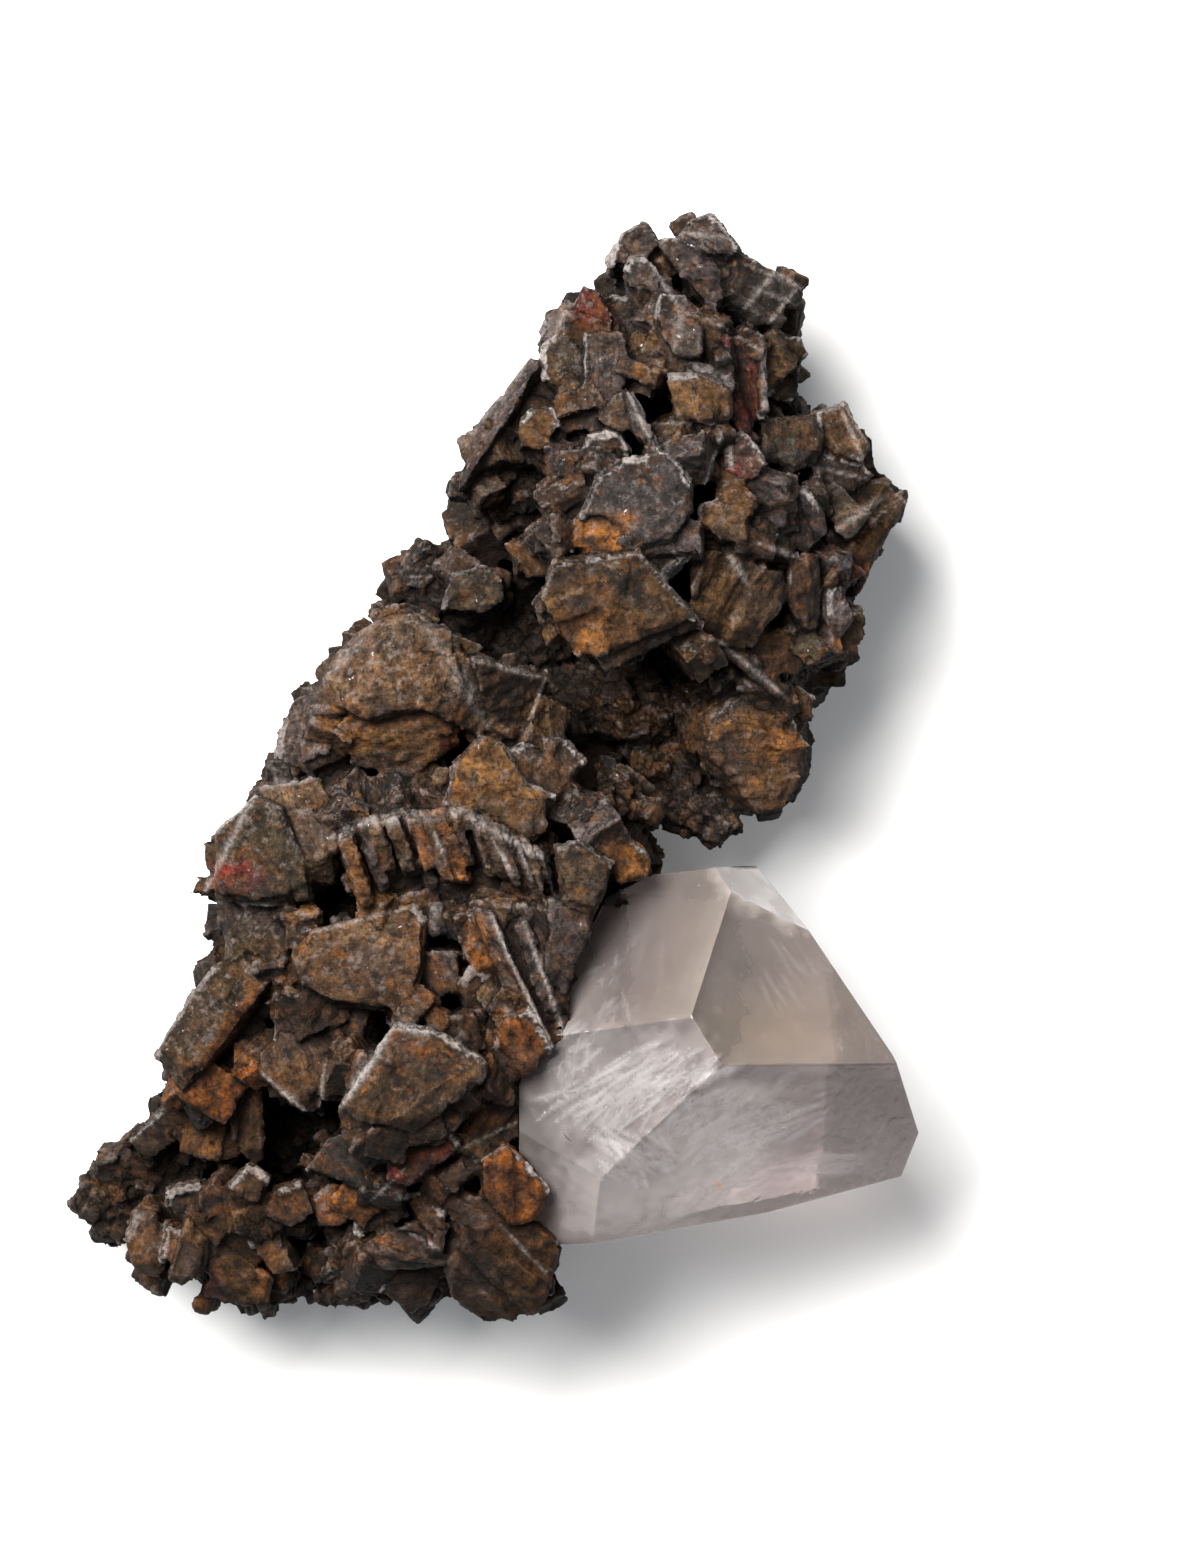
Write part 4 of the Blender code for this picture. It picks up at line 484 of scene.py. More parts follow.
# Stains that show on top: middle, radii, turn in degrees, stain, strength
SPOTS = [
    ((-26.0, -9.6), (2.9, 1.7), -5, "brick", 1.0),
    ((-14.6, 5.6), (1.6, 2.3), 20, "orange", 0.6),
    ((-9.5, 4.6), (5.0, 2.8), 0, "ochre", 0.7),
    ((-8.2, 6.4), (2.6, 0.9), 10, "orange", 0.5),
    ((-3.6, 4.4), (1.1, 2.6), 15, "orange", 0.5),
    ((-4.7, 3.2), (0.8, 0.9), 0, "brick", 0.9),
    ((-12.0, 0.5), (4.6, 1.8), -10, "dark", 0.8),
    ((-3.8, -1.0), (1.2, 1.6), 30, "orange", 0.6),
    ((0.5, 1.0), (3.2, 2.6), 0, "ochre", 0.6),
    ((9.0, 15.0), (3.6, 2.2), 15, "orange", 0.45),
    ((7.6, 12.8), (1.6, 1.0), 40, "orange", 0.6),
    ((12.4, 19.0), (3.6, 1.4), -35, "dark", 0.7),
    ((7.4, 20.6), (2.6, 1.2), 10, "dark", 0.6),
    ((10.6, 24.8), (3.0, 1.3), 20, "orange", 0.9),
    ((8.8, 23.6), (1.0, 0.5), 0, "dark", 0.8),
    ((28.6, 4.2), (2.6, 2.4), 0, "orange", 0.45),
    ((-2.2, -16.0), (1.4, 3.0), 20, "orange", 0.7),
    ((1.8, -26.4), (2.4, 3.2), 20, "orange", 0.6),
    ((-9.8, -25.6), (1.7, 0.9), -20, "orange", 0.9),
    ((-9.5, -32.6), (3.2, 1.6), 30, "tan", 0.8),
    ((-28.2, -43.2), (1.3, 0.7), 40, "orange", 0.8),
    ((-35.6, -46.4), (1.8, 3.2), 0, "ochre", 0.8),
    ((-28.9, -50.6), (0.9, 1.8), 0, "brick", 0.9),
    ((1.0, -41.0), (2.6, 2.6), 0, "orange", 0.40),
    ((-17.0, -42.0), (2.0, 1.0), 20, "orange", 0.4),
    ((8.8, 47.0), (1.8, 2.0), 0, "brick", 0.8),
    ((24.2, 40.5), (1.2, 3.6), 0, "brick", 0.5),
    ((14.6, 50.0), (1.2, 1.0), 0, "ochre", 0.7),
    ((26.0, 48.0), (1.6, 2.6), -25, "dark", 0.9),
    ((34.2, 35.0), (1.6, 1.6), 0, "ochre", 0.8),
    ((35.8, 19.8), (1.0, 2.6), -15, "brick", 0.7),
    ((34.5, 13.5), (1.2, 1.4), 0, "orange", 0.5),
    ((-20.0, -15.6), (2.0, 1.2), 20, "dark", 0.6),
    ((-7.5, -46.0), (1.6, 0.5), -25, "brick", 0.9),
    ((14.5, 7.5), (6.0, 4.0), 20, "brown", 0.5),
    ((-40.0, -42.0), (3.4, 5.0), 0, "olive", 0.5),
    ((-27.0, -26.0), (5.6, 1.1), 60, "orange", 0.65),
    ((-18.0, -41.8), (3.4, 1.4), -10, "orange", 0.55),
    ((-10.0, -46.2), (3.4, 0.9), -20, "orange", 0.50),
    ((-23.4, -48.2), (1.1, 3.2), 0, "orange", 0.55),
    ((-34.0, -46.2), (1.8, 3.0), 10, "ochre", 0.80),
    ((-28.6, -46.0), (2.2, 3.2), 0, "ochre", 0.70),
    ((0.6, -49.4), (5.0, 3.6), -30, "ochre", 0.70),
    ((-7.4, -26.9), (2.6, 0.6), -25, "orange", 0.85),
    ((1.0, -33.0), (1.6, 2.6), 10, "orange", 0.45),
    ((-6.6, -19.6), (1.2, 3.4), 12, "orange", 0.60),
]

# Pale lines on top, partly pale bands of the stone and partly painted highlights along lit edges:
# start, end, half width, strength
PALE_LINES = [
    ((-15.0, -31.4), (-10.6, -24.4), 0.75, 1.0),
    ((-10.6, -24.2), (-6.6, -24.8), 0.70, 1.0),
    ((-6.6, -24.8), (-1.6, -27.6), 0.35, 0.8),
    ((25.0, 52.2), (30.4, 49.3), 0.28, 0.8),
    ((27.2, 50.4), (24.4, 47.0), 0.38, 0.7),
    ((29.4, 48.8), (27.0, 45.8), 0.35, 0.7),
    ((14.6, 52.0), (17.8, 47.0), 0.25, 0.8),
    ((18.4, 54.5), (22.8, 54.0), 0.45, 0.7),
    ((21.8, 45.2), (26.4, 42.4), 0.25, 0.7),
    ((26.5, 42.4), (26.2, 37.0), 0.28, 0.7),
    ((32.8, 24.4), (38.2, 28.2), 0.55, 0.8),
    ((25.8, 23.4), (29.4, 22.2), 0.40, 0.7),
    ((15.6, 35.4), (21.6, 35.2), 0.25, 0.8),
    ((22.2, 34.8), (20.2, 28.4), 0.30, 0.7),
    ((24.2, 34.4), (26.4, 31.0), 0.20, 0.8),
    ((-0.6, -13.6), (2.0, -19.4), 0.40, 1.0),
    ((2.0, -19.4), (5.2, -26.4), 0.40, 1.0),
    ((2.6, -14.4), (4.8, -20.4), 0.30, 0.8),
    ((4.8, -20.4), (6.6, -25.6), 0.35, 0.9),
    ((-28.8, -12.2), (-20.6, -12.6), 0.25, 0.4),
    ((-18.4, -15.0), (-9.0, -12.6), 0.35, 0.5),
    ((-24.4, -0.8), (-18.2, 0.2), 0.50, 0.8),
    ((-29.2, -11.0), (-24.4, -2.0), 0.55, 0.6),
    ((-16.0, -5.4), (-13.6, -4.2), 0.80, 0.8),
    ((-13.6, -4.2), (-3.6, -3.2), 0.95, 0.8),
    ((-3.6, -3.0), (0.4, -5.6), 0.85, 1.0),
    ((0.4, -5.4), (5.0, -8.0), 0.60, 0.9),
    ((-0.6, -5.8), (1.2, -9.0), 0.35, 1.0),
    ((-6.4, -5.0), (-5.2, -8.0), 0.35, 0.9),
    ((2.0, -6.6), (3.2, -9.6), 0.35, 0.8),
    ((-16.8, 10.2), (-12.4, 15.4), 0.90, 0.35),
    ((-7.4, 15.8), (-1.4, 6.0), 1.10, 0.35),
    ((-2.4, 11.8), (4.6, 10.0), 0.35, 0.8),
    ((4.6, 10.0), (3.2, 6.4), 0.30, 0.6),
    ((19.4, 16.4), (14.8, 21.6), 0.35, 0.7),
    ((-8.6, -45.2), (-5.9, -46.6), 0.35, 1.0),
    ((-23.4, -29.2), (-19.2, -32.8), 0.35, 0.8),
    ((-17.2, -28.0), (-17.8, -32.4), 0.30, 0.7),
    ((32.0, 36.8), (34.4, 37.6), 0.30, 0.8),
    ((34.6, 37.4), (37.0, 33.2), 0.30, 0.8),
    ((25.4, 49.0), (29.4, 47.6), 0.30, 0.5),
    ((24.6, 51.4), (30.0, 49.2), 0.30, 0.5),
    ((22.4, 22.8), (24.4, 19.8), 0.60, 0.6),
    ((-3.6, 34.0), (2.4, 41.6), 1.20, 0.6),
    ((5.0, 43.6), (7.0, 47.6), 0.60, 0.6),
    ((18.4, 47.6), (17.4, 43.0), 0.80, 0.35),
    ((12.4, 55.2), (14.6, 55.4), 0.35, 0.5),
    ((5.4, 20.9), (4.4, 17.8), 0.25, 0.5),
    ((29.0, 38.0), (33.6, 37.6), 0.25, 0.7),
    ((33.8, 37.6), (36.4, 31.8), 0.30, 0.9),
    ((35.2, 32.3), (36.8, 31.6), 0.30, 1.0),
    ((30.6, 31.4), (38.8, 29.6), 0.22, 0.5),
    ((38.8, 29.6), (40.8, 27.6), 0.25, 0.6),
    ((-12.6, -41.6), (-9.2, -38.4), 0.22, 0.5),
    ((-4.0, -36.6), (2.0, -33.8), 0.22, 0.5),
    ((0.2, -44.2), (4.6, -48.8), 0.25, 0.5),
    ((12.6, 38.6), (15.4, 32.6), 0.35, 0.8),
    ((22.0, 13.6), (28.6, 8.2), 0.40, 0.7),
    ((26.0, 44.2), (26.6, 37.0), 0.40, 0.7),
]

# Stained lines on top: start, end, half width, stain, strength
STAINED_LINES = [
    ((-13.6, -31.0), (-10.0, -25.6), 0.30, "orange", 0.7),
    ((-9.4, -25.2), (-5.0, -26.0), 0.25, "orange", 0.6),
    ((-31.6, -30.6), (-24.0, -20.6), 0.35, "orange", 0.7),
    ((-20.4, -18.0), (-18.4, -15.2), 0.35, "orange", 0.6),
    ((10.0, 11.8), (20.0, 15.8), 0.55, "grey", 0.9),
    ((18.4, 41.4), (22.8, 39.0), 0.50, "mauve", 0.9),
]

# Where small crystals crowd: middle, radii in x and y, count
GRAIN_PATCHES = [
    ((-40.0, -42.5), (2.6, 4.4), 70),
    ((-34.0, -39.5), (3.4, 2.8), 40),
    ((-9.0, 19.5), (3.6, 4.6), 90),
    ((-1.5, 26.0), (4.6, 4.6), 120),
    ((4.0, 29.5), (4.0, 4.2), 90),
    ((1.5, 15.5), (5.6, 4.6), 110),
    ((4.5, 7.5), (4.4, 4.0), 80),
    ((13.0, 8.6), (6.6, 4.2), 150),
    ((19.5, 7.0), (3.6, 3.6), 60),
    ((16.5, 0.0), (6.6, 4.4), 130),
    ((21.5, -4.0), (4.6, 2.2), 50),
    ((-20.5, -36.0), (5.2, 6.4), 130),
    ((-16.0, -50.5), (6.6, 1.8), 60),
    ((-16.5, -46.5), (4.0, 3.0), 50),
    ((-27.0, -43.8), (3.0, 2.0), 30),
    ((-5.5, -20.5), (3.0, 5.0), 60),
    ((-1.0, -32.5), (3.0, 3.6), 50),
    ((-17.0, -12.0), (4.0, 3.0), 40),
]
GRAIN_SIZES = (0.9, 2.3)

# Open hollows that nothing fills: middle, radius, floor
HOLLOWS = [
    ((1.0, 15.5), 7.0, 15.0),
    ((14.0, 5.0), 9.0, 20.0),
    ((17.0, 0.0), 8.0, 12.0),
    ((24.0, -3.0), 6.0, 18.0),
    ((-20.5, -36.0), 7.0, 14.0),
    ((-16.5, -11.0), 4.0, 24.0),
    ((-34.0, -40.0), 6.0, 20.0),
    ((-40.0, -42.0), 6.0, 16.0),
    ((-10.0, 20.0), 5.0, 20.0),
]

# Crystals that fill the gaps between the listed ones: tries, how far round they look for neighbours,
# radii, how far under the neighbours they end, how deep a gap has to be, and stains, those low on the
# specimen apart
FILLER_TRIES = 1700
FILLER_LOOK = 2.6
FILLER_RADII = (1.3, 3.0)
FILLER_DROPS = (0.8, 3.2)
FILLER_DEPTHS = (1.8, 26.0)
FILLER_KINDS = ("brown", "ochre", "dark", "olive", "mauve", "brown", "tan", "ochre", "grey")
LOW_KINDS = ("ochre", "brown", "ochre", "dark", "tan", "orange", "brown")

# Crystals on the sides: count, sizes, and how far their middles lie in as a share of the size
SIDE_CRYSTALS = 620
SIDE_SIZES = (1.6, 4.6)
SIDE_SINK = 0.22


def read(items, name, width=3, kind=np.float64):
    """One value of every item of a mesh, as rows of an array."""
    values = np.empty(len(items) * width, dtype=kind)
    items.foreach_get(name, values)
    return values.reshape(-1, width)


def placed(name, data):
    """A new object in the scene."""
    obj = bpy.data.objects.new(name, data)
    bpy.context.scene.collection.objects.link(obj)
    return obj


def rough_object(points, faces):
    """A passing object, in millimetres, for a modifier to work on."""
    mesh = bpy.data.meshes.new("rough")
    mesh.from_pydata(points, [], faces)
    return placed("rough", mesh)


def applied(obj):
    """The mesh an object's modifiers make of it; the object itself is removed."""
    bpy.context.view_layer.update()
    evaluated = obj.evaluated_get(bpy.context.evaluated_depsgraph_get())
    made = bpy.data.meshes.new_from_object(evaluated)
    mesh = obj.data
    bpy.data.objects.remove(obj)
    bpy.data.meshes.remove(mesh)
    return made


def sides(outline):
    """Each side of an outline as its two ends."""
    return zip(outline, outline[1:] + outline[:1])


def share_between(values, start, end):
    """How far values are on the way from start to end, from 0 to 1."""
    return np.clip((values - start) / (end - start), 0.0, 1.0)


def lattice(cells, seed):
    """A fixed random number from 0 to 1 for each cell of a lattice."""
    ix, iy, iz = (cells[:, axis].astype(np.int64) for axis in range(3))
    mixed = (ix * 73856093) ^ (iy * 19349663) ^ (iz * 83492791) ^ (seed * 2654435761)
    mixed = mixed & 0xFFFFFFFF
    mixed = ((mixed >> 16) ^ mixed) * 0x45D9F3B & 0xFFFFFFFF
    mixed = ((mixed >> 16) ^ mixed) * 0x45D9F3B & 0xFFFFFFFF
    return ((mixed >> 8) & 0xFFFF) / 65535.0


def noise(points, size, seed):
    """Smooth noise from -1 to 1 with features of the given size."""
    scaled = points / size
    cell = np.floor(scaled)
    within = scaled - cell
    within = within * within * (3.0 - 2.0 * within)
    total = np.zeros(len(points))
    for dx in (0, 1):
        for dy in (0, 1):
            for dz in (0, 1):
                share = np.where(dx, within[:, 0], 1.0 - within[:, 0])
                share = share * np.where(dy, within[:, 1], 1.0 - within[:, 1])
                share = share * np.where(dz, within[:, 2], 1.0 - within[:, 2])
                total += share * lattice(cell + (dx, dy, dz), seed)
    return total * 2.0 - 1.0


class Shapes:
    """Closed shapes gathered into one mesh; each face knows its owner, and each owner its finish."""

    def __init__(self):
        self.points = []
        self.faces = []
        self.owners = []
        self.tints = []
        self.axes = []
        self.pitches = []
        self.reliefs = []
        self.pale_edge_highlights = []

    def owner(self, tint, axis, pitch, relief, pale_edge_highlight=0.0):
        """A new owner: its colour, the way its plates are stacked, how thick and how proud they are, and
        how pale its edges are, which is partly a painted highlight.
        """
        self.tints.append(tint)
        self.axes.append(axis)
        self.pitches.append(pitch)
        self.reliefs.append(relief)
        self.pale_edge_highlights.append(pale_edge_highlight)
        return len(self.tints) - 1

    def add(self, points, faces, owner):
        """A closed shape."""
        first = len(self.points)
        self.points.extend(tuple(point) for point in points)
        self.faces.extend(tuple(first + index for index in face) for face in faces)
        self.owners.extend([owner] * len(faces))

    def prism(self, top, bottom, owner):
        """A closed shape between two outlines of as many corners."""
        count = len(top)
        faces = [tuple(range(count)), tuple(reversed(range(count, 2 * count)))]
        for index in range(count):
            after = (index + 1) % count
            faces.append((index, index + count, after + count, after))
        self.add(list(top) + list(bottom), faces, owner)


def varied(colour, rng, amount=0.16):
    """A colour a little off the given one."""
    light = 1.0 + rng.uniform(-amount, amount)
    warm = 1.0 + rng.uniform(-amount, amount) * 0.5
    return (colour[0] * light * warm, colour[1] * light, colour[2] * light / warm)


def clipped(outline, point, normal):
    """The part of a flat outline on the side of a line that the normal points away from."""
    kept = []
    for start, end in sides(outline):
        near = (start - point).dot(normal)
        far = (end - point).dot(normal)
        if near <= 0.0:
            kept.append(start)
        if (near < 0.0 < far) or (far < 0.0 < near):
            kept.append(start.lerp(end, near / (near - far)))
    return kept


def roughened(outline, rng, step=1.3, wander=0.10):
    """An outline with points added along its sides and moved a little off them."""
    made = []
    for start, end in sides(outline):
        along = end - start
        parts = max(1, round(along.length / step))
        across = Vector((-along.y, along.x)).normalized() if along.length else Vector((0.0, 0.0))
        made.append(start)
        for part in range(1, parts):
            made.append(start + along * (part / parts) + across * rng.uniform(-wander, wander))
    return made


class Crystal:
    """One listed crystal, and the places on and under its outer face."""

    def __init__(self, entry):
        _, self.kind, self.form, turn, self.height, slope, self.depth, self.lean, corners = entry
        self.slope = (slope[0] * SLOPE_GAIN, slope[1] * SLOPE_GAIN)
        self.outline = [Vector(corner) for corner in corners]
        self.middle = sum(self.outline, Vector((0.0, 0.0))) / len(self.outline)
        self.turn = math.radians(turn)
        self.reach = max((corner - self.middle).length for corner in self.outline)

    def place(self, spot, down, grown=1.0):
        """A point this far under a spot of the outer face, drawn in towards the foot."""
        share = down / self.depth
        narrow = grown * (1.0 - FOOT_NARROWING * share)
        offset = (spot - self.middle) * narrow
        rise = (self.slope[0] * offset.x + self.slope[1] * offset.y) * (1.0 - 0.6 * max(share, 0.0))
        return (
            self.middle.x + offset.x + self.lean[0] * max(down, 0.0),
            self.middle.y + offset.y + self.lean[1] * max(down, 0.0),
            self.height + rise - down,
        )


def add_form(shapes, bm, owner, moved=None):
    """A bmesh added to the shapes, each of its points moved by a function."""
    if len(bm.faces) < 4:
        return
    bm.verts.index_update()
    points = [moved(vert.co) if moved else vert.co for vert in bm.verts]
    shapes.add(points, [[vert.index for vert in face.verts] for face in bm.faces], owner)


def prism_form(top, bottom):
    """A closed solid between two outlines of as many corners."""
    bm = bmesh.new()
    upper = [bm.verts.new(point) for point in top]
    lower = [bm.verts.new(point) for point in bottom]
    bm.faces.new(upper)
    bm.faces.new(lower[::-1])
    for index, vert in enumerate(upper):
        after = (index + 1) % len(upper)
        bm.faces.new((vert, lower[index], lower[after], upper[after]))
    return bm


def cut_form(bm, point, normal):
    """The solid without what lies beyond a plane."""
    geometry = bm.verts[:] + bm.edges[:] + bm.faces[:]
    bmesh.ops.bisect_plane(bm, geom=geometry, dist=CUT_SLACK, plane_co=point, plane_no=normal,
                           clear_outer=True)
    rim = [edge for edge in bm.edges if edge.is_boundary]
    if rim:
        bmesh.ops.holes_fill(bm, edges=rim, sides=0)


def slope_normal(slope):
    """The upward normal of a plane given by its rise in x and y."""
    return Vector((-slope[0], -slope[1], 1.0)).normalized()


def side_normal(turn, steep):
    """A normal that looks out at this turn and is this far off upright, both in radians."""
    flat = math.sin(steep)
    return Vector((flat * math.cos(turn), flat * math.sin(turn), math.cos(steep)))


def crystal_form(crystal, rng):
    """The solid of a crystal: its outline, its outer face and the faces beside that."""
    outline = roughened(crystal.outline, rng, step=2.6, wander=0.06)
    margin = 6.0 if crystal.form == "dome" else 0.3 * crystal.reach + 0.5
    bm = prism_form([crystal.place(spot, -margin) for spot in outline],
                    [crystal.place(spot, crystal.depth + FOOT_DEEPER) for spot in outline])
    if crystal.form == "dome":
        round_off(bm, rng)
        return bm
    crest = Vector((crystal.middle.x, crystal.middle.y, crystal.height + 0.15))
    cut_form(bm, crest, slope_normal(crystal.slope))

    for chance, turns, steeps, shares in SIDE_CUTS:
        turn, steep, share = rng.uniform(*turns), rng.uniform(*steeps), rng.uniform(*shares)
        if rng.random() > chance:
            continue
        normal = side_normal(math.radians(turn), math.radians(steep))
        flat = Vector((normal.x, normal.y, 0.0)).normalized()
        place = crest + flat * share * crystal.reach
        place.z += (crystal.slope[0] * flat.x + crystal.slope[1] * flat.y) * share * crystal.reach
        cut_form(bm, place, normal)
    return bm


def round_off(bm, rng):
    """The solid cut by many small faces round a dome."""
    middle = Vector(DOME_MIDDLE)
    for _ in range(DOME_CUTS):
        turn = rng.uniform(0.0, math.tau)
        normal = side_normal(turn, math.acos(rng.uniform(0.05, 1.0)))
        reach = Vector([normal[axis] * DOME_RADII[axis] ** 2 for axis in range(3)])
        reach /= math.sqrt(sum((normal[axis] * DOME_RADII[axis]) ** 2 for axis in range(3)))
        cut_form(bm, middle + reach * rng.uniform(0.985, 1.015), normal)


def sliced(shapes, bm, owner, axis, thicknesses, rng, wander=0.22, play=0.035):
    """The solid parted into plates along an axis, each a little out of line with the next."""
    places = [vert.co.dot(axis) for vert in bm.verts]
    middle = sum((vert.co for vert in bm.verts), Vector()) / len(bm.verts)
    place, end = min(places), max(places)
    while place < end:
        thick = rng.uniform(*thicknesses)
        plate = bm.copy()
        cut_form(plate, axis * (place + thick + PLATE_OVERLAP), axis)
        cut_form(plate, axis * (place - PLATE_OVERLAP), -axis)
        grown = 1.0 + rng.uniform(-play, play)
        shift = Vector([rng.uniform(-wander, wander) for _ in range(3)])
        shift -= axis * shift.dot(axis)

        def moved(point, grown=grown, shift=shift):
            offset = point - middle
            along = axis * offset.dot(axis)
            return middle + along + (offset - along) * grown + shift

        add_form(shapes, plate, owner, moved)
        plate.free()
        place += thick


def rims(shapes, crystal, rng):
    """Pale lips along the upper edges of the outer face, their paleness partly a painted highlight."""
    corners = crystal.outline
    area = sum(start.x * end.y - end.x * start.y for start, end in sides(corners))
    for start, end in sides(corners):
        along = end - start
        if along.length < 1.4:
            continue
        out = Vector((along.y, -along.x)).normalized() * (1.0 if area > 0.0 else -1.0)
        toward = out.dot(Vector(LIT_RIM_SIDE))
        if toward < 0.15 or rng.random() > RIM_CHANCE:
            continue
        width = rng.uniform(*RIM_WIDTHS)
        strip = [start + out * 0.05, end + out * 0.05, end - out * width, start - out * width]
        strip = roughened(strip, rng, step=1.0, wander=0.07)
        rise = rng.uniform(0.12, 0.30)
        owner = shapes.owner(varied(KINDS[rng.choice(("mauve", "pale", "grey"))], rng),
                             slope_normal(crystal.slope), 1.0, 0.0, rng.uniform(0.3, 0.9))
        shapes.prism([crystal.place(spot, -rise) for spot in strip],
                     [crystal.place(spot, 1.3) for spot in strip], owner)


def terraces(shapes, crystal, owner, rng):
    """Thin growth steps beside the edges of the outer face."""
    corners = crystal.outline
    for _ in range(6 if crystal.reach > 4.5 else 3):
        index = rng.randrange(len(corners))
        along = (corners[index] - corners[index - 1]).normalized()
        across = Vector((along.y, -along.x)) * rng.choice((-1.0, 1.0))
        edge = crystal.middle + across * rng.uniform(-0.55, 0.65) * crystal.reach
        plate = clipped(corners, edge, across)
        if len(plate) > 2 and rng.random() < 0.6:
            edge = crystal.middle - across * rng.uniform(0.0, 0.7) * crystal.reach
            plate = clipped(plate, edge, -across)
        if len(plate) > 2:
            grown = rng.uniform(0.70, 0.98)
            rise = rng.uniform(0.15, 0.65)
            plate = roughened(plate, rng, wander=0.12)
            top = [crystal.place(spot, -rise, grown) for spot in plate]
            foot = [crystal.place(spot, 0.6, grown) for spot in plate]
            shapes.prism(top, foot, owner)


def place_crystal(shapes, entry, rng):
    """One crystal in the form it is given."""
    crystal = Crystal(entry)
    across = crystal.turn + math.pi / 2.0
    upright = Vector((math.cos(across), math.sin(across), rng.uniform(-0.25, 0.25))).normalized()
    axis = upright if crystal.form == "ribs" else slope_normal(crystal.slope)
    grain = axis
    if crystal.form == "stack" and rng.random() < 0.5:
        edge = crystal.outline[1] - crystal.outline[0]
        grain = Vector((edge.x, edge.y, 0.0)).normalized()
    owner = shapes.owner(varied(KINDS[crystal.kind], rng), tuple(grain), rng.uniform(0.8, 1.3), 0.14)
    bm = crystal_form(crystal, rng)
    if crystal.form == "ribs":
        sliced(shapes, bm, owner, axis, RIB_PLATES, rng, wander=0.32, play=0.05)
    elif crystal.form == "stack":
        sliced(shapes, bm, owner, axis, STACK_PLATES, rng)
    else:
        add_form(shapes, bm, owner)
    bm.free()
    if crystal.form in ("stack", "block") and crystal.reach > 2.0:
        rims(shapes, crystal, rng)
    if crystal.form in ("stack", "block") and crystal.reach > 3.0:
        terraces(shapes, crystal, owner, rng)


def leaves(shapes, rng):
    """The thin upright plates under the pale ridge, with dark slots between them."""
    for start, end in zip(RIDGE, RIDGE[1:]):
        start, end = Vector(start), Vector(end)
        along = (end - start).normalized()
        place = 0.0
        while place < (end - start).length - 0.6:
            width = rng.uniform(0.9, 1.5)
            fall = Vector(LEAF_FALL) * rng.uniform(5.6, 8.4)
            near = start + along * place + Vector((0.0, rng.uniform(-0.3, 0.3)))
            far = near + along * width
            height = LEAF_HEIGHT + rng.uniform(-0.4, 0.4) - 0.30 * fall.length / 2.0
            corners = [near, far, far + fall + along * rng.uniform(-0.5, 0.3), near + fall]
            kind = rng.choice(("ochre", "tan", "orange", "brown", "mauve"))
            slope = (rng.uniform(-0.25, 0.1), rng.uniform(0.10, 0.26))
            place_crystal(shapes, ("leaf", kind, "block", 0, height, slope, 7, (0, 0), corners), rng)
            place += width + rng.uniform(0.35, 0.75)


def random_spin(rng):
    """A seeded turn about all three axes."""
    angles = [rng.uniform(0.0, math.tau) for _ in range(3)]
    return (Matrix.Rotation(angles[0], 3, "Z") @ Matrix.Rotation(angles[1], 3, "Y")
            @ Matrix.Rotation(angles[2], 3, "X"))


DOWN = Vector((0.0, 0.0, -1.0))
CUBE = [(x, y, z) for x in (-0.5, 0.5) for y in (-0.5, 0.5) for z in (-0.5, 0.5)]
CUBE_FACES = [(0, 1, 3, 2), (4, 6, 7, 5), (0, 4, 5, 1), (2, 3, 7, 6), (0, 2, 6, 4), (1, 5, 7, 3)]


def rhomb(shapes, middle, size, thin, owner, spin, rng):
    """A small leaning block; its corners are a little off, as grown ones are."""
    stretch = Vector((size, size * rng.uniform(0.75, 1.0), size * thin))
    lean = rng.uniform(-0.25, 0.25)
    points = []
    for corner in CUBE:
        point = Vector([corner[axis] * stretch[axis] for axis in range(3)])
        point.x += lean * point.z
        point += Vector([rng.uniform(-0.05, 0.05) * size for _ in range(3)])
        points.append(tuple(spin @ point + middle))
    shapes.add(points, CUBE_FACES, owner)


class Solid:
    """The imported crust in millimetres, to measure against."""

    def __init__(self, obj):
        mesh = obj.data
        mesh.calc_loop_triangles()
        self.points = read(mesh.vertices, "co") / MM
        self.triangles = read(mesh.loop_triangles, "vertices", kind=np.int64)
        self.points, merged = np.unique(np.round(self.points, 4), axis=0, return_inverse=True)
        self.triangles = merged.reshape(-1)[self.triangles]
        corners = self.points[self.triangles]
        normals = np.cross(corners[:, 1] - corners[:, 0], corners[:, 2] - corners[:, 0])
        self.areas = np.linalg.norm(normals, axis=1) / 2.0
        self.normals = normals / np.maximum(self.areas[:, None] * 2.0, 1e-9)
        self.tree = BVHTree.FromPolygons(self.points.tolist(), self.triangles.tolist())

    def top(self, x, y):
        """The highest point of the crust at x, y."""
        return self.tree.ray_cast(Vector((x, y, 100.0)), DOWN)[0]

    def facets(self):
        """A number for each triangle, shared by neighbours that lie in one flat face."""
        parent = list(range(len(self.triangles)))

        def root(index):
            while parent[index] != index:
                parent[index] = parent[parent[index]]
                index = parent[index]
            return index

        beside = {}
        for index, triangle in enumerate(self.triangles.tolist()):
            for start, end in sides(triangle):
                other = beside.setdefault((min(start, end), max(start, end)), index)
                if other != index and self.normals[index].dot(self.normals[other]) > 0.996:
                    parent[root(index)] = root(other)
        return [root(index) for index in range(len(self.triangles))]

    def scatter(self, count, seed):
        """Points spread evenly over the surface, each with its normal."""
        chance = np.random.default_rng(seed)
        chosen = chance.choice(len(self.triangles), size=count, p=self.areas / self.areas.sum())
        first, second = chance.random(count), chance.random(count)
        fold = first + second > 1.0
        first[fold], second[fold] = 1.0 - first[fold], 1.0 - second[fold]
        corners = self.points[self.triangles[chosen]]
        spots = corners[:, 0] + first[:, None] * (corners[:, 1] - corners[:, 0])
        spots += second[:, None] * (corners[:, 2] - corners[:, 0])
        return spots, self.normals[chosen]


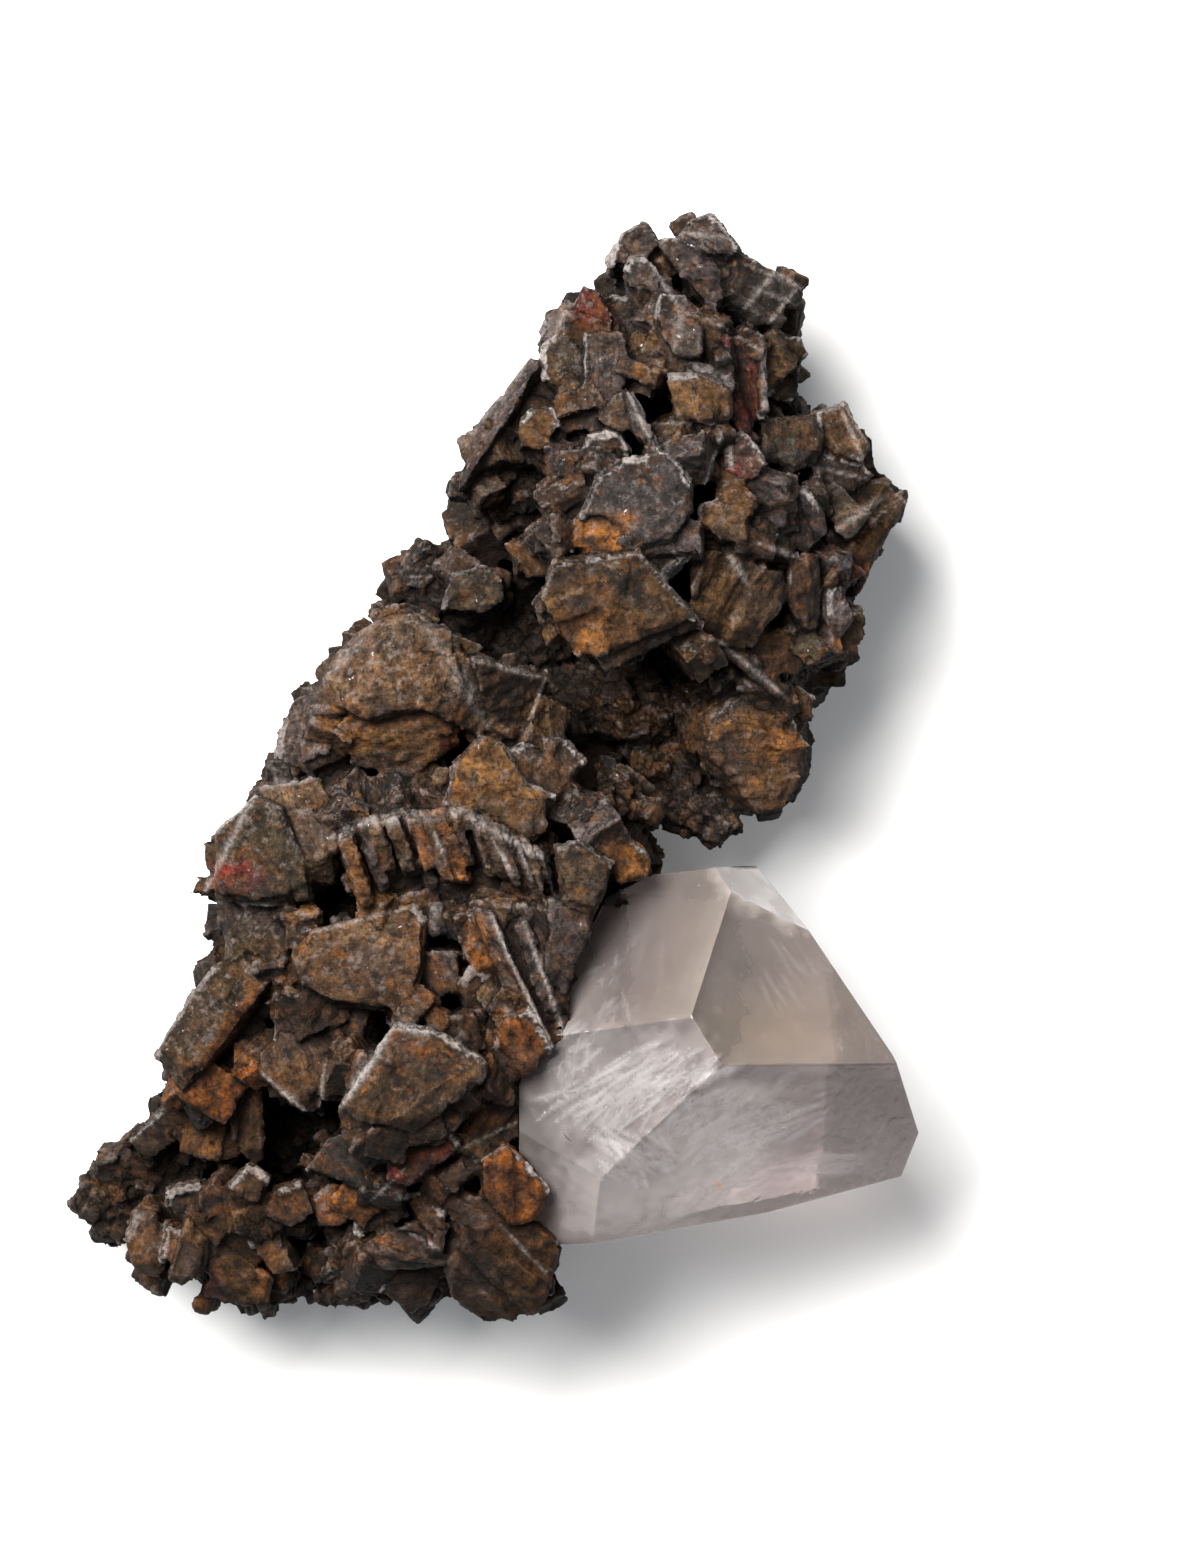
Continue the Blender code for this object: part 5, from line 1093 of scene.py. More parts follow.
def patch_grains(shapes, solid, rng):
    """Small crystals crowded in the hollows."""
    for (x, y), (reach_x, reach_y), count in GRAIN_PATCHES:
        for _ in range(count):
            turn = rng.uniform(0.0, math.tau)
            away = math.sqrt(rng.random())
            spot = solid.top(x + reach_x * away * math.cos(turn), y + reach_y * away * math.sin(turn))
            if spot is None:
                continue
            spot.z = float(lowered(spot.z)) + rng.uniform(0.0, 0.6)
            size = rng.uniform(*GRAIN_SIZES)
            kind = rng.choice(("brown", "olive", "dark", "mauve", "ochre", "brown"))
            owner = shapes.owner(varied(KINDS[kind], rng, 0.25), (0.0, 0.0, 1.0), 1.0, 0.0)
            rhomb(shapes, spot + Vector((0.0, 0.0, 0.1 * size)), size, rng.uniform(0.6, 1.0), owner,
                  random_spin(rng), rng)


def within(spot, corners):
    """Whether a spot lies inside an outline."""
    found = False
    for start, end in sides(corners):
        if (start[1] > spot[1]) != (end[1] > spot[1]):
            crossing = start[0] + (spot[1] - start[1]) / (end[1] - start[1]) * (end[0] - start[0])
            found ^= spot[0] < crossing
    return found


def fillers(shapes, solid, rng):
    """Lower crystals in the gaps between the listed ones."""
    tree = BVHTree.FromPolygons(shapes.points, shapes.faces)
    planes = quartz_planes()

    def height(x, y):
        hit = tree.ray_cast(Vector((x, y, 100.0)), DOWN)[0]
        base = solid.top(x, y)
        if base is None:
            return None
        base = float(lowered(base.z))
        return max(hit.z, base) if hit else base

    for _ in range(FILLER_TRIES):
        x, y = rng.uniform(-42.0, 40.0), rng.uniform(-55.0, 56.0)
        here = height(x, y)
        covers = [entry[4] for entry in CRYSTALS if within((x, y), entry[-1])]
        if here is None or (covers and max(covers) - here < 5.0):
            continue
        if any(math.dist((x, y), middle) < radius for middle, radius, _ in HOLLOWS):
            continue
        spot = Vector((x, y, 30.0))
        if max((spot - point).dot(normal) for point, normal in planes) < 1.5:
            continue
        ring = [height(x + FILLER_LOOK * math.cos(turn), y + FILLER_LOOK * math.sin(turn))
                for turn in range(6)]
        if None in ring:
            continue
        around = max(ring)
        if not FILLER_DEPTHS[0] < around - here < FILLER_DEPTHS[1]:
            continue
        top = around - rng.uniform(*FILLER_DROPS) - (2.0 if covers else 0.0)
        size = 2.0 * rng.uniform(*FILLER_RADII)
        kinds = LOW_KINDS if y < -28.0 else FILLER_KINDS
        owner = shapes.owner(varied(KINDS[rng.choice(kinds)], rng, 0.22),
                             tuple(random_spin(rng) @ Vector((0.0, 0.0, 1.0))), 1.0, 0.12)
        spin = random_spin(rng)
        while top > here - size:
            middle = Vector((x, y, top - 0.5 * size))
            rhomb(shapes, middle, size, rng.uniform(0.35, 0.9), owner, spin, rng)
            top -= 0.6 * size


def side_crystals(shapes, solid, rng):
    """Leaning plates and blocks that break up the plain sides."""
    spots, normals = solid.scatter(SIDE_CRYSTALS * 3, SEED)
    made = 0
    for spot, normal in zip(spots, normals):
        if abs(normal[2]) > 0.75 or spot[2] < 1.5 or made >= SIDE_CRYSTALS:
            continue
        size = rng.uniform(*SIDE_SIZES)
        middle = Vector(spot) - Vector(normal) * size * SIDE_SINK
        middle.z = float(lowered(middle.z))
        if middle.z < size * 0.55:
            continue
        owner = shapes.owner(varied(KINDS[rng.choice(SIDE_KINDS)], rng), (0.0, 0.0, 1.0), 1.0, 0.0)
        spin = random_spin(rng)
        rhomb(shapes, middle, size, rng.uniform(0.35, 0.8), owner, spin, rng)
        made += 1


def facet_owners(shapes, solid, rng):
    """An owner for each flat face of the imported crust."""
    owners = {}
    answer = []
    for facet in solid.facets():
        if facet not in owners:
            normal = Vector(solid.normals[facet])
            axis = normal.cross(Vector([rng.uniform(-1.0, 1.0) for _ in range(3)])).normalized()
            kind = rng.choice(SIDE_KINDS)
            owners[facet] = shapes.owner(varied(KINDS[kind], rng), tuple(axis),
                                         rng.uniform(0.8, 1.7), rng.uniform(0.1, 0.4))
        answer.append(owners[facet])
    return answer


def remeshed(points, faces, voxel):
    """One closed skin of quads round overlapping shapes: its points and the quads' corners."""
    obj = rough_object(points, faces)
    modifier = obj.modifiers.new("Skin", "REMESH")
    modifier.mode = "VOXEL"
    modifier.voxel_size = voxel
    modifier.adaptivity = 0.0
    skin = applied(obj)
    if any(polygon.loop_total != 4 for polygon in skin.polygons):
        raise ValueError("the skin has faces that are not quads")
    points = read(skin.vertices, "co")
    quads = read(skin.loops, "vertex_index", 1, np.int64).reshape(-1, 4)
    bpy.data.meshes.remove(skin)
    return points, quads


def lowered(height):
    """The height a point of the core is drawn down to, so that crystals stand clear of it."""
    share = share_between(np.asarray(height), *CORE_DROP_HEIGHTS)
    return height - CORE_DROP * share * share * (3.0 - 2.0 * share)


def worn_core(solid_object):
    """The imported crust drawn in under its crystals, as room for their finer forms, in millimetres."""
    points = [tuple(vert.co / MM) for vert in solid_object.data.vertices]
    faces = [tuple(polygon.vertices) for polygon in solid_object.data.polygons]
    points, quads = remeshed(points, faces, CORE_VOXEL)
    normals = point_normals(points, quads)
    rise = share_between(points[:, 2], *CORE_WEAR_HEIGHTS)
    points = points - normals * (rise * CORE_WEAR)[:, None]
    points[:, 2] = lowered(points[:, 2])
    return points, quads


def eased(values, edges, rounds):
    """Values on points, each averaged with its neighbours' a number of times."""
    count = len(values)
    ends = np.concatenate([edges[:, 0], edges[:, 1]])
    others = np.concatenate([edges[:, 1], edges[:, 0]])
    links = np.maximum(np.bincount(ends, minlength=count), 1)
    values = values.copy()
    for _ in range(rounds):
        for axis in range(values.shape[1]):
            total = np.bincount(ends, weights=values[others, axis], minlength=count)
            values[:, axis] = 0.4 * values[:, axis] + 0.6 * total / links
    return values


def store(mesh, values):
    """Numbers and colours on each point for the materials to read, by name."""
    for name, value in values.items():
        if value.ndim == 1:
            attribute = mesh.attributes.new(name, "FLOAT", "POINT")
            attribute.data.foreach_set("value", np.ascontiguousarray(value, dtype=np.float32))
            continue
        attribute = mesh.attributes.new(name, "FLOAT_COLOR", "POINT")
        four = np.ones((len(value), 4), dtype=np.float32)
        four[:, :3] = value
        attribute.data.foreach_set("color", four.reshape(-1))


def nearest_owners(points, shapes, solid, solid_owners):
    """Which shape each point of the skin belongs to."""
    detail_tree = BVHTree.FromPolygons(shapes.points, shapes.faces)
    answer = np.empty(len(points), dtype=np.int64)
    for index, point in enumerate(points.tolist()):
        hit = detail_tree.find_nearest(point, OWNER_REACH)
        if hit[2] is not None:
            answer[index] = shapes.owners[hit[2]]
        else:
            answer[index] = solid_owners[solid.tree.find_nearest(point)[2]]
    return answer


def blocks(points, owners, axes, size, seed):
    """A random number from 0 to 1 for each block of a lattice that lies along the owner's plates."""
    helper = np.where(np.abs(axes[:, 2:]) > 0.9, (1.0, 0.0, 0.0), (0.0, 0.0, 1.0))
    second = np.cross(axes, helper)
    second /= np.linalg.norm(second, axis=1, keepdims=True)
    third = np.cross(axes, second)
    bends = np.stack([noise(points, 1.6 * size, seed + step) for step in (1, 2, 3)], axis=1)
    warped = points + 0.35 * size * bends
    along = [np.einsum("ij,ij->i", warped, way) / size for way in (axes, second, third)]
    cells = np.floor(np.stack(along, axis=1) * BLOCK_CELLS) + (owners * 17)[:, None]
    return lattice(cells, seed)


def relief(points, normals, owners, shapes):
    """How far each point of the skin stands out, its plates' place and a number for its block."""
    axes = np.array(shapes.axes)[owners]
    pitches = np.array(shapes.pitches)[owners]
    amounts = np.array(shapes.reliefs)[owners]
    wander = 0.5 * noise(points, 3.0, 3)
    phase = np.einsum("ij,ij->i", points, axes) / pitches + wander + owners * 0.37
    saw = phase - np.floor(phase)
    across = 1.0 - np.einsum("ij,ij->i", normals, axes) ** 2
    plates = -amounts * across * saw
    large = blocks(points, owners, axes, 2.6, 40)
    small = blocks(points, owners, axes, 1.25, 50)
    out = plates + 0.36 * (large - 0.6) + 0.20 * (small - 0.5)
    out += 0.10 * noise(points, 1.1, 5) + 0.07 * noise(points, 0.62, 6) + 0.25 * noise(points, 6.0, 7)
    return out, phase, 0.6 * large + 0.4 * small


def point_normals(points, quads):
    """Normals on points from the quads round them."""
    corners = points[quads]
    across = np.cross(corners[:, 2] - corners[:, 0], corners[:, 3] - corners[:, 1])
    normals = np.zeros_like(points)
    for axis in range(3):
        for corner in range(4):
            normals[:, axis] += np.bincount(quads[:, corner], weights=across[:, axis],
                                            minlength=len(points))
    return normals / np.maximum(np.linalg.norm(normals, axis=1, keepdims=True), 1e-9)


def bulge(points, normals, edges, rounds):
    """How far each point stands out from its smoothed surroundings."""
    return np.einsum("ij,ij->i", points - eased(points, edges, rounds), normals)


def sunk(points):
    """How far each point lies under the smoothed tops round it."""
    place = (points[:, :2] - np.array(TOPS_CORNER)).astype(int)
    place = np.clip(place, 0, np.array(TOPS_CELLS) - 1)
    flat = place[:, 0] * TOPS_CELLS[1] + place[:, 1]
    tops = np.zeros(TOPS_CELLS[0] * TOPS_CELLS[1])
    np.maximum.at(tops, flat, points[:, 2])
    total = tops.reshape(TOPS_CELLS)
    weight = (total > 0.0).astype(float)
    for _ in range(TOPS_ROUNDS):
        for grid in (total, weight):
            grid[1:-1, 1:-1] = (grid[1:-1, 1:-1] * 2 + grid[:-2, 1:-1] + grid[2:, 1:-1]
                                + grid[1:-1, :-2] + grid[1:-1, 2:]) / 6.0
    around = (total / np.maximum(weight, 0.05)).reshape(-1)
    return around[flat] - points[:, 2]


def beyond(points, planes):
    """How far each point lies beyond each plane."""
    return np.stack([(points - np.array(point)) @ np.array(normal) for point, normal in planes])


def clear_of_quartz(points):
    """Points that lie in the quartz, moved out to just beyond its nearest face."""
    planes = quartz_planes()
    away = beyond(points, planes)
    nearest = away.argmax(axis=0)
    depth = away.max(axis=0) - QUARTZ_CONTACT
    normals = np.array([normal for _, normal in planes])[nearest]
    return points - normals * np.minimum(depth, 0.0)[:, None]


def mesh_object(name, points, faces, material):
    """An object from points in millimetres."""
    mesh = bpy.data.meshes.new(name)
    mesh.vertices.add(len(points))
    mesh.vertices.foreach_set("co", (points * MM).astype(np.float32).reshape(-1))
    width = faces.shape[1]
    mesh.loops.add(len(faces) * width)
    mesh.loops.foreach_set("vertex_index", faces.astype(np.int32).reshape(-1))
    mesh.polygons.add(len(faces))
    mesh.polygons.foreach_set("loop_start", np.arange(0, len(faces) * width, width, dtype=np.int32))
    mesh.update(calc_edges=True)
    mesh.validate()
    mesh.materials.append(material)
    return placed(name, mesh)


def stained(points, normals, tints, pale_and_highlit):
    """The stains of the crystals, and their pale edges, partly painted highlights, with the spots and lines
    laid over them.
    """
    seen = np.clip(normals[:, 2] * 3.0 + 0.8, 0.0, 1.0) * (points[:, 2] > 12.0)
    for middle, radii, turn, kind, strength in SPOTS:
        share = cloud(points, middle, radii, turn) * strength * seen
        tints = blend(tints, np.clip(share * 1.4, 0.0, 1.0), KINDS[kind])
        pale_and_highlit = pale_and_highlit * (1.0 - 0.5 * share)
    broken = np.clip(0.9 + 0.8 * noise(points, 1.1, 66), 0.0, 1.0)
    for start, end, width, strength in PALE_LINES:
        pale_and_highlit = np.maximum(pale_and_highlit, stroke(points, start, end, width) * strength * seen * broken)
    for start, end, width, kind, strength in STAINED_LINES:
        tints = blend(tints, stroke(points, start, end, width) * strength * seen, KINDS[kind])
    for places, darker in END_TONES:
        share = share_between(points[:, 1], *places)
        tints = tints * (1.0 - share[:, None] * np.array(darker))
    return tints, pale_and_highlit


def thinned(points, quads, normals):
    """Fewer faces where little is seen of them: triangles, their points and the points those were."""
    obj = rough_object(points.tolist(), quads.tolist())
    hidden = np.clip(0.1 - 3.0 * normals[:, 2], 0.0, 1.0)
    hidden = np.maximum(hidden, share_between(points[:, 2], 9.0, 6.0))
    group = obj.vertex_groups.new(name="hidden")
    for step in (0.25, 0.5, 0.75, 1.0):
        chosen = np.flatnonzero((hidden > step - 0.25) & (hidden <= step))
        group.add(chosen.tolist(), step, "REPLACE")
    modifier = obj.modifiers.new("Fewer", "DECIMATE")
    modifier.ratio = min(1.0, CRUST_TRIANGLES / (2.0 * len(quads)))
    modifier.vertex_group = "hidden"
    modifier.vertex_group_factor = 1.0
    fewer = applied(obj)
    fewer.calc_loop_triangles()
    kept_points = read(fewer.vertices, "co")
    faces = read(fewer.loop_triangles, "vertices", kind=np.int64)
    bpy.data.meshes.remove(fewer)
    tree = KDTree(len(points))
    for index, point in enumerate(points.tolist()):
        tree.insert(point, index)
    tree.balance()
    kept = np.array([tree.find(point)[1] for point in kept_points.tolist()])
    return faces, kept_points, kept


def crust_shapes(solid, rng):
    """Every crystal of the crust, as closed shapes that overlap."""
    shapes = Shapes()
    for entry in CRYSTALS:
        place_crystal(shapes, entry, rng)
    leaves(shapes, rng)
    fillers(shapes, solid, rng)
    patch_grains(shapes, solid, rng)
    side_crystals(shapes, solid, rng)
    return shapes


def crust_skin(solid_object, shapes):
    """One skin round the worn core and every crystal: its points and quads."""
    points, faces = worn_core(solid_object)
    count = len(points)
    all_points = points.tolist() + shapes.points
    all_faces = faces.tolist() + [[count + index for index in face] for face in shapes.faces]
    return remeshed(all_points, all_faces, VOXEL)


def crust_surface(points, quads, shapes, owners):
    """The skin with its fine relief: points, normals and what the material reads on each point."""
    edges = np.concatenate([quads[:, [0, 1]], quads[:, [1, 2]], quads[:, [2, 3]], quads[:, [3, 0]]])
    edges.sort(axis=1)
    edges = np.unique(edges, axis=0)
    normals = point_normals(points, quads)
    ridge = bulge(points, normals, edges, 8)
    # Hollows found by this broad bulge get painted shade in the material
    broad_bulge_for_shade = bulge(points, normals, edges, 60)
    out, phase, block = relief(points, normals, owners, shapes)
    grounded = np.clip(points[:, 2], 0.0, 1.0)
    points = clear_of_quartz(points + normals * (out * grounded)[:, None])
    points[points[:, 2] < GROUND_SNAP, 2] = 0.0
    normals = point_normals(points, quads)
    ridge = 0.6 * ridge + 0.8 * bulge(points, normals, edges, 3)
    tints, pale_and_highlit = stained(points, normals, np.array(shapes.tints)[owners],
                            np.array(shapes.pale_edge_highlights)[owners])
    # How much each point faces the side of the pale dust and the painted light; faces turned away get
    # painted shade
    light_and_dust_side = eased(normals, edges, 4) @ np.array(LIGHT_AND_DUST_FROM)
    for places, less in END_LIGHT_AND_DUST:
        light_and_dust_side -= less * share_between(points[:, 1], *places)
    # The sunk depth gives painted shade in the hollows
    looks = {"tint": tints, "rim": ridge, "pale_and_highlit": pale_and_highlit, "broad_bulge_for_shade": broad_bulge_for_shade, "painted_shade_depth": sunk(points),
             "phase": phase % 64.0, "block": block, "light_and_dust_side": light_and_dust_side}
    return points, normals, looks


def build_crust(solid_object, material):
    """The crust as finely modelled meshes, parted along Y where they meet point for point."""
    rng = random.Random(SEED)
    solid = Solid(solid_object)
    shapes = crust_shapes(solid, rng)
    points, quads = crust_skin(solid_object, shapes)
    solid_owners = facet_owners(shapes, solid, rng)
    owners = nearest_owners(points, shapes, solid, solid_owners)
    points, normals, looks = crust_surface(points, quads, shapes, owners)
    faces, kept_points, kept = thinned(points, quads, normals)
    along = kept_points[faces].mean(axis=1)[:, 1]
    limits = np.quantile(along, np.linspace(0.0, 1.0, CRUST_PIECES + 1))
    limits[0], limits[-1] = -math.inf, math.inf
    for index in range(CRUST_PIECES):
        chosen = faces[(along >= limits[index]) & (along < limits[index + 1])]
        used, corners = np.unique(chosen, return_inverse=True)
        obj = mesh_object(f"crust_part_{index + 1}", kept_points[used], corners.reshape(-1, 3), material)
        origin = kept[used]
        store(obj.data, {name: values[origin] for name, values in looks.items()})
        obj.data.shade_smooth()
        obj.data.normals_split_custom_set_from_vertices(normals[origin].tolist())
        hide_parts(solid_object.name)
        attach(obj, "root")


def quartz_planes():
    """Every face of the quartz as a point and an outward normal, the upper ones first."""
    planes = []
    for faces, upward in ((QUARTZ_TOP_FACES, 1.0), (QUARTZ_UNDER_FACES, -1.0)):
        for point, slope in faces:
            planes.append((Vector(point), slope_normal(slope) * upward))
    for start, end, draw_in in QUARTZ_SIDES:
        along = Vector((end[0] - start[0], end[1] - start[1], 0.0))
        outward = Vector((-along.y, along.x, 0.0)).normalized()
        normal = (outward - Vector((0.0, 0.0, draw_in))).normalized()
        planes.append((Vector((*start, QUARTZ_MID_HEIGHT)), normal))
    return planes


def quartz_form():
    """The quartz crystal: a large block cut by each of its faces, in millimetres."""
    bm = bmesh.new()
    bmesh.ops.create_cube(bm, size=QUARTZ_BLOCK)
    for point, normal in quartz_planes():
        geometry = bm.verts[:] + bm.edges[:] + bm.faces[:]
        cut = bmesh.ops.bisect_plane(bm, geom=geometry, dist=CUT_SLACK, plane_co=point, plane_no=normal,
                                     clear_outer=True)
        rim = [item for item in cut["geom_cut"] if isinstance(item, bmesh.types.BMEdge)]
        if rim:
            bmesh.ops.edgeloop_fill(bm, edges=rim)
    return bm


def stroke(points, start, end, width):
    """How strongly a thin stroke marks each point, seen from above."""
    start, end = np.array(start), np.array(end)
    along = end - start
    length = np.linalg.norm(along)
    along /= length
    offset = points[:, :2] - start
    place = offset @ along
    off = offset @ np.array((-along[1], along[0]))
    over = np.maximum(np.maximum(-place, place - length), 0.0)
    taper = 0.35 + 0.65 * np.clip(place / length, 0.0, 1.0) * np.clip(2.0 - 2.0 * place / length, 0.0, 1.0)
    return np.exp(-(off / (width * taper)) ** 2 - (over / width) ** 2)


def cloud(points, middle, radii, turn):
    """How strongly a soft, ragged patch marks each point, seen from above."""
    turn = math.radians(turn)
    offset = points[:, :2] - np.array(middle)
    near = np.flatnonzero(np.hypot(offset[:, 0], offset[:, 1]) < 1.6 * max(radii))
    along = (offset[near, 0] * math.cos(turn) + offset[near, 1] * math.sin(turn)) / radii[0]
    across = (offset[near, 1] * math.cos(turn) - offset[near, 0] * math.sin(turn)) / radii[1]
    away = np.hypot(along, across) + 0.35 * noise(points[near], 0.9, 64)
    share = np.zeros(len(points))
    share[near] = np.clip(1.35 - away, 0.0, 1.0)
    return share


def blend(values, share, target):
    """Values moved a share of the way to a target."""
    return values + (np.array(target) - values) * share[:, None]


def quartz_looks(points):
    """Colour, clearness and frosting of the quartz at each point, and how far its veils stand out."""
    away = beyond(points, quartz_planes()[:len(QUARTZ_TOP_FACES)])
    face = away.argmax(axis=0)
    top = np.clip(1.0 + away.max(axis=0) / 3.0, 0.0, 1.0)
    tone = quartz_stone(points, face, top)
    # Painted light and shade: each upper face made as light as its listed share
    shares = np.exp((away - away.max(axis=0)) / 0.35)
    tone = tone * (np.array(QUARTZ_FACE_SHADES) @ (shares / shares.sum(axis=0)))[:, None]
    veil, gaps = (marks * top for marks in feathers(points))
    milk = top * np.max([cloud(points, *place) * strength for *place, strength in CLOUDS], axis=0)
    dash = top * np.max([stroke(points, *dash) for dash in DASHES], axis=0)
    tone = blend(tone, milk * 0.75, (0.40, 0.364, 0.356))
    tone = blend(tone, veil, (0.37, 0.357, 0.361))
    tone = blend(tone, gaps * 0.9, (0.22, 0.195, 0.195))
    tone = blend(tone, dash, (0.07, 0.055, 0.05))
    tone = blend(tone, stroke(points, (21.6, -40.0), (22.0, -40.5), 0.25) * top, (0.60, 0.28, 0.07))

    left_face = (face == LEFT_FACE) * top
    near_crust = share_between(points[:, 0], 12.0, 5.0) * left_face
    clear = 0.80 - 0.12 * left_face - 0.25 * near_crust - 0.55 * milk - 0.35 * veil - 0.5 * dash
    clear = np.where((face == MILKY_FACE) & (top > 0.5), 0.45, clear)
    frost = 0.06 + 0.30 * milk + 0.30 * veil
    looks = {"tint": tone, "clear": np.clip(clear, 0.05, 1.0), "frost": np.clip(frost, 0.04, 0.7)}
    return looks, veil * 0.10 + milk * 0.03


def quartz_stone(points, face, top):
    """The colour of the quartz without its veils, by the upper face each point lies nearest to, with
    painted light and shade on those faces.
    """
    x, y = points[:, 0], points[:, 1]
    tone = np.tile(np.array((0.66, 0.585, 0.565)), (len(points), 1))
    left_face, right_face = (face == LEFT_FACE) * top, (face == RIGHT_FACE) * top

    # Painted light and shade on both sides of the edge between the left and the right face, light on the
    # left and dark on the right
    beside = x - (23.0 + (y + 11.0) * (23.0 - 18.8) / 12.0)
    tone = blend(tone, left_face, (0.60, 0.510, 0.485))
    tone = blend(tone, left_face * np.clip(1.0 + beside / 8.0, 0.0, 1.0), (0.66, 0.560, 0.490))
    tone = blend(tone, left_face * (beside > -2.0) * 0.6, (0.72, 0.630, 0.560))
    tone = blend(tone, right_face, (0.60, 0.515, 0.475))
    tone = blend(tone, right_face * np.exp(-np.maximum(beside, 0.0) / 3.5) * 0.8, (0.40, 0.330, 0.305))

    # A golden patch low on the right face, and the milky face above it
    golden = np.exp(-((x - 27.5) / 7.0) ** 2 - ((y + 25.0) / 4.2) ** 2)
    tone = blend(tone, right_face * golden * 0.8, (0.68, 0.555, 0.425))
    tone = blend(tone, (face == MILKY_FACE) * top, (0.82, 0.78, 0.77))

    # The clear part of the low face, the dark band at its upper edge and the pale strip at its foot
    window = np.clip((x - 26.5 - 0.5 * (y + 34.0)) / 4.0, 0.0, 1.0) * (face == LOW_FACE) * top
    tone = blend(tone, window, (0.52, 0.445, 0.445))
    band = np.exp(-((x - 27.5) / 4.5) ** 4 - ((y + 29.4) / 0.9) ** 2) * (face == LOW_FACE)
    tone = blend(tone, band * 0.7, (0.38, 0.33, 0.325))
    strip = np.exp(-((y + 42.6 - (x - 24.0) * 0.12) / 0.7) ** 2) * (x > 16.0)
    return blend(tone, strip * 0.5, (0.72, 0.65, 0.61))


def feathers(points):
    """The white strokes of the feathers, and the dark gaps beside them, as their strength on each point."""
    rng = random.Random(SEED)
    veil = np.zeros(len(points))
    gaps = np.zeros(len(points))
    for middle, radii, turn, spread, count, lengths, strength in FEATHERS:
        for _ in range(count):
            turned = rng.uniform(0.0, math.tau)
            out = math.sqrt(rng.random())
            start = (middle[0] + radii[0] * out * math.cos(turned),
                     middle[1] + radii[1] * out * math.sin(turned))
            angle = math.radians(turn + rng.gauss(0.0, spread))
            length = rng.uniform(*lengths)
            end = (start[0] - length * math.cos(angle), start[1] - length * math.sin(angle))
            mark = stroke(points, start, end, rng.uniform(0.10, 0.48))
            veil = np.maximum(veil, mark * strength * rng.uniform(0.25, 0.9))
            aside = rng.uniform(0.3, 0.9)
            mark = stroke(points, (start[0] + aside, start[1]), (end[0] + aside, end[1]), 0.14)
            gaps = np.maximum(gaps, mark * strength * rng.uniform(0.0, 0.8))
    return veil, gaps


def build_quartz(solid_object, material):
    """The quartz with its edges just broken, fine enough to carry its veils."""
    bm = quartz_form()
    point, normal = quartz_planes()[VEILED_FACE]
    crisp = [edge for edge in bm.edges
             if any(abs((vertex.co - point).dot(normal)) > 0.01 for vertex in edge.verts)]
    bmesh.ops.bevel(bm, geom=crisp, offset=QUARTZ_BEVEL, segments=2, profile=0.6, affect="EDGES")
    bmesh.ops.triangulate(bm, faces=bm.faces[:])
    for _ in range(QUARTZ_ROUNDS):
        long_edges = []
        for edge in bm.edges:
            seen = edge.verts[0].co.z > QUARTZ_SEEN_ABOVE
            if edge.calc_length() > (QUARTZ_EDGE if seen else QUARTZ_HIDDEN_EDGE):
                long_edges.append(edge)
        if not long_edges:
            break
        bmesh.ops.subdivide_edges(bm, edges=long_edges, cuts=1)
        bmesh.ops.triangulate(bm, faces=[face for face in bm.faces if len(face.verts) > 3])
    mesh = bpy.data.meshes.new("quartz")
    bm.to_mesh(mesh)
    bm.free()
    points = read(mesh.vertices, "co")
    looks, raised = quartz_looks(points)
    points = points + read(mesh.vertices, "normal") * raised[:, None]
    mesh.vertices.foreach_set("co", (points * MM).astype(np.float32).reshape(-1))
    store(mesh, looks)
    mesh.materials.append(material)
    obj = placed("quartz", mesh)
    mesh.shade_smooth()
    mesh.set_sharp_from_angle(angle=math.radians(50.0))
    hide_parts(solid_object.name)
    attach(obj, "root")


